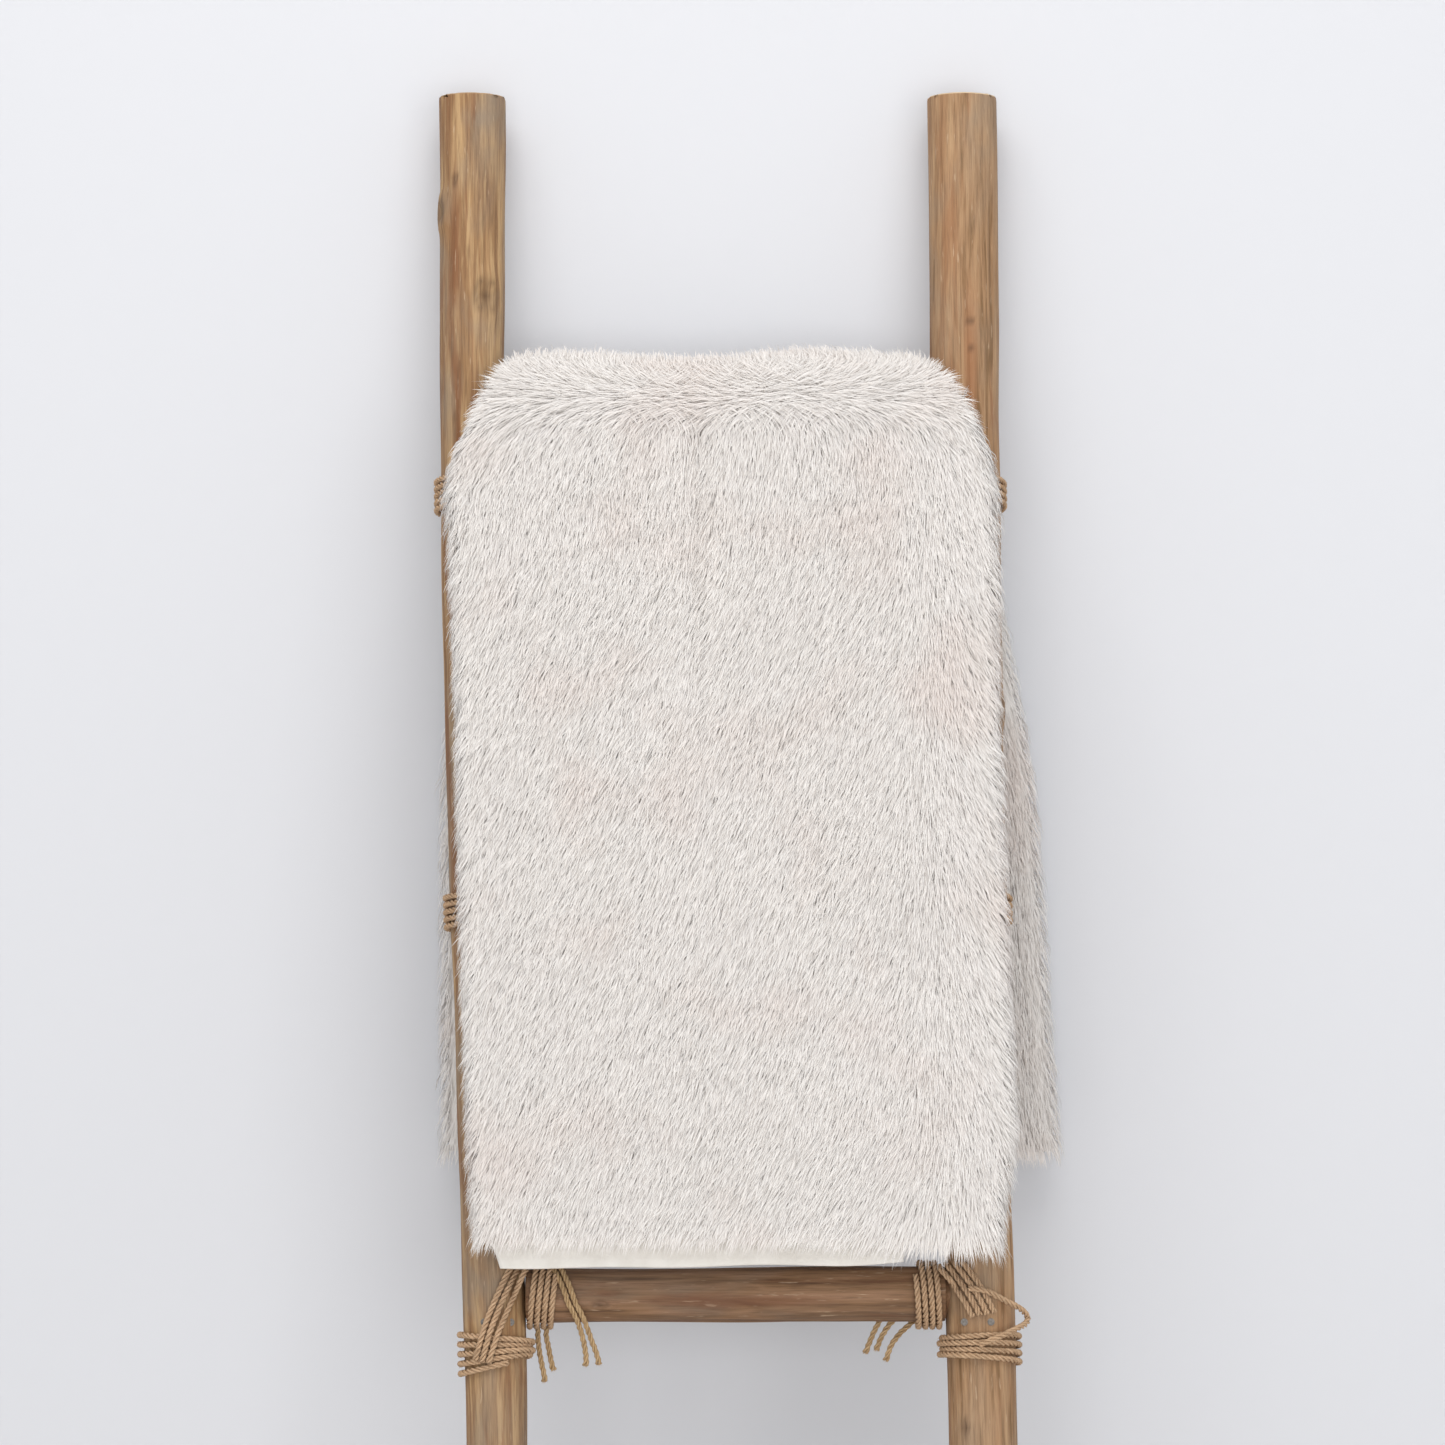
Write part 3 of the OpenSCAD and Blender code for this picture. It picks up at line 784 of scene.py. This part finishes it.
# %% Strands across the front of each lashing
SLANTS = {
    (LEFT, 3): [
        ((0.0285, 0.0200), (-0.0015, -0.0580), -0.002),
        ((0.0225, 0.0225), (-0.0070, -0.0570), -0.003),
        ((0.0165, 0.0235), (-0.0125, -0.0555), -0.003),
    ],
    (RIGHT, 3): [
        ((-0.0330, 0.0190), (-0.0080, -0.0200), 0.002),
        ((-0.0270, 0.0215), (-0.0020, -0.0190), 0.002),
        ((-0.0210, 0.0235), (0.0040, -0.0180), 0.002),
        ((-0.0150, 0.0245), (0.0100, -0.0165), 0.002),
    ],
    (LEFT, 4): [
        ((0.0265, 0.0200), (0.0010, -0.0540), -0.002),
        ((0.0200, 0.0225), (-0.0055, -0.0560), -0.002),
    ],
    (RIGHT, 4): [
        ((-0.0300, 0.0190), (-0.0040, -0.0500), 0.002),
        ((-0.0240, 0.0215), (0.0030, -0.0520), 0.002),
    ],
    (LEFT, 2): [
        ((0.0285, 0.0190), (0.0010, -0.0420), -0.002),
        ((0.0225, 0.0215), (-0.0055, -0.0400), -0.002),
    ],
    (RIGHT, 2): [
        ((-0.0300, 0.0190), (-0.0040, -0.0380), 0.002),
        ((-0.0240, 0.0215), (0.0030, -0.0360), 0.002),
    ],
    (LEFT, 1): [
        ((0.0285, 0.0150), (0.0010, -0.0320), -0.002),
        ((0.0225, 0.0180), (-0.0055, -0.0300), -0.002),
    ],
    (RIGHT, 1): [
        ((-0.0300, 0.0150), (-0.0040, -0.0300), 0.002),
        ((-0.0240, 0.0180), (0.0030, -0.0280), 0.002),
    ],
}
LOOP = [  # one strand round the outer side of the right post at rung 3: across, depth, along
    (-0.012, -0.033, 0.004), (0.004, -0.036, 0.001), (0.018, -0.033, -0.006), (0.031, -0.024, -0.012),
    (0.0385, -0.013, -0.018), (0.0375, -0.018, -0.024), (0.029, -0.030, -0.029),
    (0.018, -0.0385, -0.034), (0.006, -0.0415, -0.039), (-0.004, -0.0405, -0.043),
]
for (side, k), strands in SLANTS.items():
    label = f"lashing_{k}_" + ("left" if side == LEFT else "right")
    windings = [rung_turns(side, k), band_turns(side, k)] + [slant(side, k, *s) for s in strands]
    if (side, k) == (RIGHT, 3):
        middle, along = post_x(RIGHT, RUNG_AT[3]), RUNG_AT[3]
        windings.append([leaned(middle + x, n, along + s) for x, n, s in LOOP])
    routes = [smooth_route(winding, ROUTE_STEP) for winding in windings]
    lashing = rope_piece(label + "_rope", routes, ROPE_D, 100 + 10 * k + side, fray=0.005, tips=14)
    lashing.data.materials.append(jute_rope)
    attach(lashing, "ladder")
    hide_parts(label)
    print(lashing.name, len(lashing.data.polygons), "faces")

# %% [markdown]
# ### Nails
# Two steel nails hold each lashing. Their solids in the frame have the right shape already, so
# they only get a finish: zinc-coated steel wire, dull grey with a few darker specks.

# %% Nails
def zinc_steel(name):
    """Galvanised steel: a dull metal with a mottled zinc skin."""
    material = new_material(name)
    place = add(material, "ShaderNodeTexCoord").outputs["Object"]
    spangle = stretched(material, place, 700, 3, (1, 1, 1), 0.6)
    tone = ramp(material, spangle, (0.3, "#4B4743"), (0.7, "#716B65"))
    rough = add(material, "ShaderNodeMapRange", {"Value": spangle, "To Min": 0.3, "To Max": 0.5})
    return finished(material, principled(material, tone, rough.outputs[0], Metallic=1.0))


nails = frame["nodes"]["lashing_nails"]
nails.data.materials.clear()
nails.data.materials.append(zinc_steel("galvanised_nail"))

# %% [markdown]
# ## The folded cloth
# The throw was cut 1.30 m by 1.60 m and folded in thirds: the middle third shows, and the two
# side thirds are turned in behind it, so the lining lies inside. One grid of points is laid
# through the fold: across it runs round both folded edges, and along it follows the hang, up
# the front, over the rung and plumb down the back.

# %% The way over the rung
RUNG_Y, RUNG_Z = leaned(0, 0, RUNG_AT[1])[1:]
HANG_R = 0.068
FRONT_LEN = 0.708
ARC = math.pi - LEAN
BACK_LEN = 0.640
CLOTH_LEN = FRONT_LEN + ARC * HANG_R + BACK_LEN


def hang(run, lift=0.0):
    """Place (y, z) and outward direction of the cloth at a distance from the front hem."""
    run = np.asarray(run, float)
    swing = np.clip((run - FRONT_LEN) / HANG_R, 0, ARC)
    angle = math.pi - LEAN - swing
    before = np.minimum(run - FRONT_LEN, 0)
    after = np.maximum(run - FRONT_LEN - ARC * HANG_R, 0)
    out_y, out_z = np.cos(angle), np.sin(angle)
    y = RUNG_Y + (HANG_R + lift) * out_y + before * math.sin(LEAN)
    z = RUNG_Z + (HANG_R + lift) * out_z + before * math.cos(LEAN) - after
    return y, z, out_y, out_z


EDGE_RUN = [0.00, 0.02, 0.10, 0.25, 0.45, 0.60, 0.655, 0.69, 0.72, 0.75, 0.785, 0.82, 0.90, 0.925,
            0.955, 1.00, 1.2, CLOTH_LEN]
LEFT_EDGE = [-0.190, -0.193, -0.199, -0.207, -0.214, -0.222, -0.227, -0.219, -0.203, -0.187, -0.175, -0.172,
             -0.172, -0.178, -0.200, -0.226, -0.243, -0.243]
RIGHT_EDGE = [0.212, 0.216, 0.229, 0.225, 0.220, 0.222, 0.222, 0.216, 0.202, 0.185, 0.171, 0.163, 0.163,
              0.170, 0.196, 0.232, 0.268, 0.292]
print("cloth runs", round(CLOTH_LEN, 3), "m over the rung")


# %% Soft hollows and waves of the front
def relief(x, run):
    """How far the cloth stands in or out of its even hang, in metres."""
    along = RUNG_AT[1] - FRONT_LEN + run
    wave = 0.0022 * np.sin(17 * x + 6.5 * run + 0.6) + 0.0018 * np.sin(31 * x - 9 * run)
    valley_x = -0.021 + 0.012 * (1.30 - along)
    fade = np.clip((along - 1.08) / 0.12, 0, 1) * np.clip((1.44 - along) / 0.08, 0, 1)
    valley = -0.008 * np.exp(-(((x - valley_x) / 0.010) ** 2)) * fade
    hollow_right = -0.005 * np.exp(-(((x - 0.148) / 0.045) ** 2 + ((along - 0.91) / 0.06) ** 2))
    hollow_low = -0.005 * np.exp(-(((x - 0.006) / 0.05) ** 2 + ((along - 0.735) / 0.07) ** 2))
    return wave + valley + hollow_right + hollow_low


# %% The folded sheet
PLY_GAP = 0.007
TURNED_SHARE = 0.86


def fold_section(count_flat=44, count_turn=8):
    """Across the fold: share of the way from left to right edge, sideways and inward offsets."""
    bend = np.linspace(0, math.pi, count_turn + 2)[1:-1]
    flat = np.zeros(count_flat)
    parts = [
        (np.linspace(TURNED_SHARE, 0, count_flat), flat, flat + PLY_GAP),
        (0 * bend, -np.sin(bend) * PLY_GAP / 2, PLY_GAP * (1 + np.cos(bend)) / 2),
        (np.linspace(0, 1, count_flat), flat, flat),
        (0 * bend + 1, np.sin(bend) * PLY_GAP, PLY_GAP * (1 - np.cos(bend))),
        (np.linspace(1, 1 - TURNED_SHARE, count_flat), flat, flat + 2 * PLY_GAP),
    ]
    return [np.concatenate(column) for column in zip(*parts)]


def cloth_points(run, share, side, inward):
    """World points and outward directions for places on the folded cloth."""
    left = np.interp(run, EDGE_RUN, LEFT_EDGE)
    right = np.interp(run, EDGE_RUN, RIGHT_EDGE)
    x = left + (right - left) * share + side
    lift = relief(x, run) - inward
    y, z, out_y, out_z = hang(run, lift)
    return np.stack([x, y, z], axis=-1), np.stack([np.zeros_like(x), out_y, out_z], axis=-1)


def grid_faces(rows, columns):
    i, j = np.meshgrid(np.arange(rows - 1), np.arange(columns - 1), indexing="ij")
    first = i * columns + j
    return np.stack([first, first + 1, first + columns + 1, first + columns], axis=-1).reshape(-1, 4)


def thickened(piece, thickness):
    """Gives a sheet its thickness, half to each side, and smooths it."""
    only(piece)
    thick = piece.modifiers.new("thickness", "SOLIDIFY")
    thick.thickness = thickness
    thick.offset = 0
    bpy.ops.object.modifier_apply(modifier=thick.name)
    bpy.ops.object.shade_smooth()


section = fold_section()
runs = np.linspace(0.012, CLOTH_LEN - 0.01, 150)
grid = np.broadcast_arrays(runs[:, None], *section)
points, _ = cloth_points(*grid)
cloth = mesh_piece("throw_cloth", points.reshape(-1, 3), [grid_faces(len(runs), len(section[0]))])
thickened(cloth, 0.0012)
print("cloth", len(cloth.data.polygons), "faces")

# %% [markdown]
# ### Knitted backing and lining
# Faux fur is pile locked into a knitted polyester ground, pale like the pile itself. The lining
# is a plain cream woven cloth. Its threads are 0.4 mm apart, and in a picture they are drawn
# three times as coarse so that they show at all.

# %% Cloth materials
def plain_cloth(name, pale, shade, pitch):
    """Plain weave: matt, faintly ribbed both ways."""
    material = new_material(name)
    place = add(material, "ShaderNodeTexCoord").outputs["Object"]
    threads = {"Vector": place, "Scale": 0.05 / pitch, "Distortion": 0.6}
    warp = add(material, "ShaderNodeTexWave", threads, bands_direction="X").outputs[1]
    weft = add(material, "ShaderNodeTexWave", threads, bands_direction="Z").outputs[1]
    weave = add(material, "ShaderNodeMath", {0: warp, 1: weft}, operation="MULTIPLY")
    slub = stretched(material, place, 60, 3, (1, 1, 1))
    tone = ramp(material, slub, (0.3, shade), (0.7, pale))
    bump = bumped(material, weave.outputs[0], 0.35, 0.0004)
    skin = principled(material, tone, 0.9, Specular_IOR_Level=0.2, Sheen_Weight=0.2, Normal=bump)
    return finished(material, skin)


backing = plain_cloth("polyester_knit_backing", "#E9E5E1", "#DFDAD5", 0.0012)
lining_cloth = plain_cloth("cream_cotton_lining", "#F1ECE4", "#E6E0D7", 0.0012)
cloth.data.materials.append(backing)

# %% [markdown]
# ### The lining's hem
# The inner layers hang a little lower than the fur, so a narrow cream strip shows under the
# pile. It is a band of lining with a turned hem.

# %% Lining hem
hem_left, hem_right = -0.187, 0.150
HEM_COLUMNS = 90
HEM_DEPTH = -0.0475
hem_x = np.linspace(hem_left, hem_right, HEM_COLUMNS)
HEM_ROWS = [  # rise above the hem's fold, and place back from the hem's front
    (0.0600, 0.0), (0.0300, 0.0), (0.0100, -0.0004), (0.0000, -0.0006), (-0.0060, -0.0006),
    (-0.0078, -0.0002), (-0.0082, 0.0006), (-0.0078, 0.0014), (-0.0060, 0.0017), (0.0000, 0.0016),
    (0.0090, 0.0013), (0.0100, 0.0010), (0.0104, 0.0005),
]
tuck = np.clip((hem_x - 0.09) / 0.06, 0, 1)
sag = 0.0012 * np.sin(14 * hem_x + 0.5) + 0.0007 * np.sin(47 * hem_x) + 0.003 * tuck**2
ripple = 0.0010 * np.sin(38 * hem_x)
hem_points = []
for rise, back in HEM_ROWS:
    along = RUNG_AT[1] - FRONT_LEN + rise + sag - 0.003
    depth = HEM_DEPTH + back + ripple
    slope = 0.35 * rise * np.clip((-0.15 - hem_x) / 0.037, 0, 1)
    hem_points.append([leaned(x, n, s) for x, n, s in zip(hem_x - slope, depth, along)])
hem_faces = grid_faces(len(HEM_ROWS), HEM_COLUMNS)
hem = mesh_piece("throw_lining_hem", np.array(hem_points).reshape(-1, 3), [hem_faces])
thickened(hem, 0.0007)
hem.data.materials.append(lining_cloth)
print("hem", round(hem_right - hem_left, 3), "m wide")

# %% [markdown]
# ## Faux fur
# The pile is acrylic fibre about 25 mm long, brushed down and a little to the left. Over the
# rung it turns sideways in a swirl and then runs down the back. Particle hair can't be handed on
# as a mesh, so every tuft of fibres is a narrow blade of three segments. Blades stand on the
# cloth, lean with the combing and gather into small locks. Most are white; about one in twenty,
# and more at the crest, is a longer, thinner guard hair. Guard hairs grey towards their tips and
# every tip greys a little: this grey is painted shade, for strand tips in shadow along the fringe.

# %% Blades of fur
SOFT_NORMAL = 0.92  # how far a blade is shaded like the pile round it
REACH = 0.88  # how far a tip lies along the cloth, as a share of the blade
BLADE = 0.00105
LOCK_SIZE = 0.011
GATHER = 0.06  # how far a tip is drawn to the middle of its lock


def locks(places, size, rng_seed):
    """For each place, the centre of the lock it belongs to, on a jittered grid."""
    rng = np.random.default_rng(rng_seed)
    cell = np.floor(places / size).astype(int)
    cell -= cell.min(axis=0)
    table = rng.uniform(0.15, 0.85, (cell[:, 0].max() + 2, cell[:, 1].max() + 2, 2))
    low = np.floor(places.min(axis=0) / size) * size
    return low + (cell + table[cell[:, 0], cell[:, 1]]) * size, table[cell[:, 0], cell[:, 1]]


def fur_piece(name, roots, outward, comb, length, seed, guard, stand, reach, lit, flat):
    """Blades of fur as one mesh.

    comb is the lie of the pile, stand its lift from the cloth, guard the share of guard hairs,
    lit the direction a blade is shaded in, and flat its place on the cloth laid flat.
    """
    rng = np.random.default_rng(seed + 5000)
    count = len(roots)
    is_guard = rng.random(count) < guard
    size = length * rng.uniform(0.75, 1.1, count) * np.where(is_guard, 1.12, 1)
    far = size * reach
    wide = BLADE * rng.uniform(0.7, 1.15, count) * np.where(is_guard, 0.5, 1)
    side_dir = unit(np.cross(outward, comb))
    middle, lock_tone = locks(flat, LOCK_SIZE, seed + 1)
    pull = (middle - flat)[:, :1] * GATHER
    aim = comb + side_dir * rng.normal(0, 0.16, count)[:, None]
    aim = unit(aim + side_dir * ((lock_tone[:, 0] - 0.5) * 0.22)[:, None])
    lift = stand * rng.uniform(0.75, 1.25, count) * (1 + 0.2 * (lock_tone[:, 1] - 0.5))
    roll = rng.normal(0, 0.35, count)
    flat_side = unit(np.cross(outward, aim))
    blade_side = flat_side * np.cos(roll)[:, None] + outward * np.sin(roll)[:, None]
    face_way = np.cross(blade_side, aim + 0.4 * outward)
    outside = np.sign(np.sum(face_way * outward, axis=1))[:, None]
    blade_side, face_way = blade_side * outside, face_way * outside
    rows = []
    for u, taper in ((0.0, 0.9), (0.35, 1.0), (0.7, 0.7)):
        up = outward * (size * lift * math.sin(u * math.pi / 2) ** 0.9)[:, None]
        go = aim * (far * (0.3 * u + 0.7 * u * u))[:, None]
        middle_line = roots + up + go + side_dir * (pull * u)
        half = blade_side * (wide * taper / 2)[:, None]
        rows += [middle_line - half, middle_line + half]
    rows.append(roots + outward * (size * lift)[:, None] + aim * far[:, None] + side_dir * pull)
    points = np.stack(rows, axis=1).reshape(-1, 3)
    first = np.arange(count)[:, None] * 7
    quads = np.concatenate([first + [[0, 1, 3, 2]], first + [[2, 3, 5, 4]]])
    tips = first + [[4, 5, 6]]
    height = np.tile([0, 0, 0.35, 0.35, 0.7, 0.7, 1.0], count)
    tone = np.repeat(np.where(is_guard, 1.0, 0.0), 7)
    shade = np.repeat(rng.random(count), 7)
    piece = mesh_piece(name, points, [quads, tips], {"fur": np.stack([height, tone, shade], axis=1)})
    piece.data.shade_smooth()
    soft = unit(lit * SOFT_NORMAL + face_way * (1 - SOFT_NORMAL))
    piece.data.normals_split_custom_set_from_vertices(np.repeat(soft, 7, axis=0))
    return piece


# %% Acrylic fur material
def acrylic_fur(name, root, body, shaded_tip_grey, warm):
    """Acrylic pile: soft, pale, lets light through, with a silky edge, its tips greyed with painted shade.
    """
    material = new_material(name)
    fur = add(material, "ShaderNodeAttribute", attribute_name="fur").outputs["Vector"]
    parts = add(material, "ShaderNodeSeparateXYZ", {"Vector": fur})
    place = add(material, "ShaderNodeTexCoord").outputs["Object"]
    blush = stretched(material, place, 9, 2, (1, 1, 1))
    height, guard = parts.outputs[0], parts.outputs[1]
    along = ramp(material, height, (0.0, root), (0.6, body))
    patches = ramp(material, blush, (0.5, 0.0), (0.75, 0.35))
    tone = mixed(material, patches, along, linear(warm))
    # Painted shade: guard hairs grey towards their tips and every tip greys a little, for strand tips in
    # shadow along the fringe.
    greyed = add(material, "ShaderNodeMath", {0: height, 1: guard}, operation="MULTIPLY").outputs[0]
    tips = {"Value": height, "From Min": 0.72, "From Max": 1.0, "To Min": 0.0, "To Max": 0.16}
    last = add(material, "ShaderNodeMapRange", tips).outputs[0]
    share = add(material, "ShaderNodeMath", {0: greyed, 1: 0.6, 2: last}, operation="MULTIPLY_ADD")
    tone = mixed(material, share.outputs[0], tone, linear(shaded_tip_grey))
    skin = principled(material, tone, 0.6, Specular_IOR_Level=0.25, Sheen_Weight=0.25)
    through = add(material, "ShaderNodeBsdfTranslucent", {"Color": tone})
    both = add(material, "ShaderNodeMixShader", {0: 0.3, 1: skin.outputs[0], 2: through.outputs[0]})
    return finished(material, both)


# The fourth colour is the grey of the painted shade on the tips.
white_fur = acrylic_fur("white_acrylic_fur", "#F1ECE8", "#F8F4F0", "#B9AFA6", "#F1E3DB")

# %% Where the fur grows
PILE = 0.024
TURN_SHARE = 0.05  # each folded edge counts as this much more of the width
HEM_RUN = 0.014
STAND = 0.4


def round_the_fold(across):
    """Splits places across into share, offsets and the sideways tilt of the pile, past both folds."""
    share = np.clip(across, 0, 1)
    turn = np.where(across > 1, across - 1, np.where(across < 0, -across, 0)) / TURN_SHARE * math.pi
    half = np.where(across > 1, PLY_GAP, PLY_GAP / 2)
    side = np.sign(across - 0.5) * np.sin(turn) * half
    return share, side, half * (1 - np.cos(turn)), turn * np.sign(across - 0.5)


def fur_area(name, count, run_range, seed, face="outer", stand=STAND, length=PILE):
    """Fur on the outer or inner face of the fold between two distances from the front hem."""
    rng = np.random.default_rng(seed)
    run = rng.uniform(*run_range, count)
    if face == "inner":
        across = rng.choice([0, 0.12, 0.78, 1], count, p=[0.0, 0.12, 0.1, 0.78])
        spread = np.where(across == 1, 0.22, np.where(across > 0.5, 0.66, 0.12))
        across = across - rng.uniform(0, 1, count) * spread
    else:
        across = rng.uniform(-0.95 * TURN_SHARE, 1 + 0.95 * TURN_SHARE, count)
    share, side, inward, turn = round_the_fold(across)
    if face == "inner":
        inward = inward + 2 * PLY_GAP + 0.001
    roots, outward = cloth_points(run, share, side, inward)
    ahead, _ = cloth_points(run + 0.002, share, side, inward)
    upward = unit(ahead - roots)
    sideways = np.array([[1.0, 0, 0]])
    over = np.clip((run - FRONT_LEN) / (ARC * HANG_R), 0, 1)
    down = np.clip((over - 0.17) / 0.17, -1, 1)
    to_right = np.clip((across - 0.78) / 0.26, 0, 1)
    near_top = np.clip((run - FRONT_LEN + 0.16) / 0.16, 0, 1)
    drift = (-0.42 + 0.95 * to_right**2 * (3 - 2 * to_right)) * (1 - 0.8 * near_top)
    goes_right = rng.random(count) < np.clip((across - 0.25) / 0.6, 0, 1)
    swirl = 0.7 * np.sqrt(1 - down**2) * np.where(goes_right, 1, -1)
    comb = upward * down[:, None] + sideways * (drift + swirl)[:, None]
    if face == "inner":
        outward = -outward
    outward = outward * np.cos(turn)[:, None] + sideways * np.sin(turn)[:, None]
    comb -= outward * np.sum(comb * outward, axis=1)[:, None]
    comb = unit(comb)
    flat = np.stack([across * 0.43, run], axis=1)
    crest = np.clip((over - 0.3) / 0.12, 0, 1) * np.clip((0.75 - over) / 0.1, 0, 1)
    near_rung = np.clip((run - 0.6) / 0.08, 0, 1) * np.clip((1.0 - run) / 0.1, 0, 1)
    shoulder = 0.45 * near_rung * np.clip(np.abs(turn), 0, 1)
    upright = np.maximum(crest, shoulder)
    toward_front = np.clip(over / 0.25, 0, 1) * np.clip((0.56 - over) / 0.1, 0, 1)
    lit = unit(outward + toward_front[:, None] * np.array([[0, -1.1, 0.35]]))
    hem_right_side = np.clip((across - 0.68) / 0.1, 0, 1) * np.clip(1.3 - run / 0.03, 0, 1)
    # More guard hairs at the crest put more of the painted shade of their grey tips there.
    piece = fur_piece(
        name, roots, outward, comb, length, seed, guard=0.05 + 0.1 * crest,
        stand=stand + 0.26 * upright, reach=REACH - 0.2 * upright + 0.42 * hem_right_side,
        lit=lit, flat=flat,
    )
    piece.data.materials.append(white_fur)
    return piece


FUR_PARTS = [
    ("throw_fur_front_1", 38000, (HEM_RUN, 0.19)),
    ("throw_fur_front_2", 38000, (0.19, 0.37)),
    ("throw_fur_front_3", 38000, (0.37, 0.55)),
    ("throw_fur_front_4", 38000, (0.55, 0.73)),
    ("throw_fur_saddle", 31000, (0.73, 0.93)),
    ("throw_fur_back_upper", 25000, (0.93, 1.24)),
    ("throw_fur_back_lower", 25000, (1.24, CLOTH_LEN - 0.012)),
]
fur_pieces = [fur_area(*part, 500 + i) for i, part in enumerate(FUR_PARTS)]
inner_back = (0.95, CLOTH_LEN - 0.012)
fur_pieces.append(fur_area("throw_fur_inner_front", 9000, (HEM_RUN, 0.66), 523, "inner", 0.12, 0.02))
fur_pieces.append(fur_area("throw_fur_inner_back", 22000, inner_back, 524, "inner", 0.42, 0.022))
print("fur blades", sum(len(p.data.polygons) for p in fur_pieces) // 3)

# %% What the throw's pieces stand for
for piece in [cloth, hem] + fur_pieces:
    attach(piece, "throw")
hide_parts("throw_front_drop", "throw_saddle", "throw_back_drop")
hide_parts("throw_lining")

# %% [markdown]
# ## Floor, wall and light
# A pale floor and a plain wall carry the ladder. Light comes from a broad soft lamp in front
# and above, with an even fill. The wall is seen only from its front: from behind it is clear,
# so that the back of the ladder can be looked at too.

# %% Studio
def stage_material(name, colour, one_way=False):
    material = new_material(name)
    skin = principled(material, linear(colour), 0.9)
    if not one_way:
        return finished(material, skin)
    behind = add(material, "ShaderNodeNewGeometry").outputs["Backfacing"]
    clear = add(material, "ShaderNodeBsdfTransparent")
    both = add(material, "ShaderNodeMixShader", {0: behind, 1: skin.outputs[0], 2: clear.outputs[0]})
    return finished(material, both)


bpy.ops.object.select_all(action="DESELECT")
bpy.ops.mesh.primitive_plane_add(size=12, location=(0, 0, 0))
floor = bpy.context.object
floor.name = "studio_floor"
floor.data.materials.append(stage_material("pale_floor", "#D2D0CD"))
bpy.ops.mesh.primitive_plane_add(size=12, location=(0, 0.392, 6), rotation=(math.pi / 2, 0, 0))
wall = bpy.context.object
wall.name = "studio_wall"
wall.data.materials.append(stage_material("pale_wall", "#D6D6D9", one_way=True))


def soft_lamp(name, place, aim, size, power, colour):
    bpy.ops.object.light_add(type="AREA", location=place)
    lamp = bpy.context.object
    lamp.name = name
    lamp.data.shape = "RECTANGLE"
    lamp.data.size, lamp.data.size_y = size
    lamp.data.energy = power
    lamp.data.color = colour
    lamp.rotation_euler = (Vector(aim) - Vector(place)).to_track_quat("-Z", "Y").to_euler()
    return lamp


soft_lamp("key_softbox", (-0.4, -2.0, 3.9), (0.0, 0.2, 1.0), (3.2, 2.2), 70, (1.0, 0.985, 0.965))
soft_lamp("front_fill", (0.6, -3.8, 0.7), (0.1, 0.2, 0.5), (4.0, 2.2), 88, (0.97, 0.985, 1.0))
world = bpy.data.worlds.new("studio_world")
bpy.context.scene.world = world
world.use_nodes = True
world.node_tree.nodes["Background"].inputs[0].default_value = (0.93, 0.96, 1.0, 1)
world.node_tree.nodes["Background"].inputs[1].default_value = 0.62
bpy.context.scene.view_settings.view_transform = "Standard"
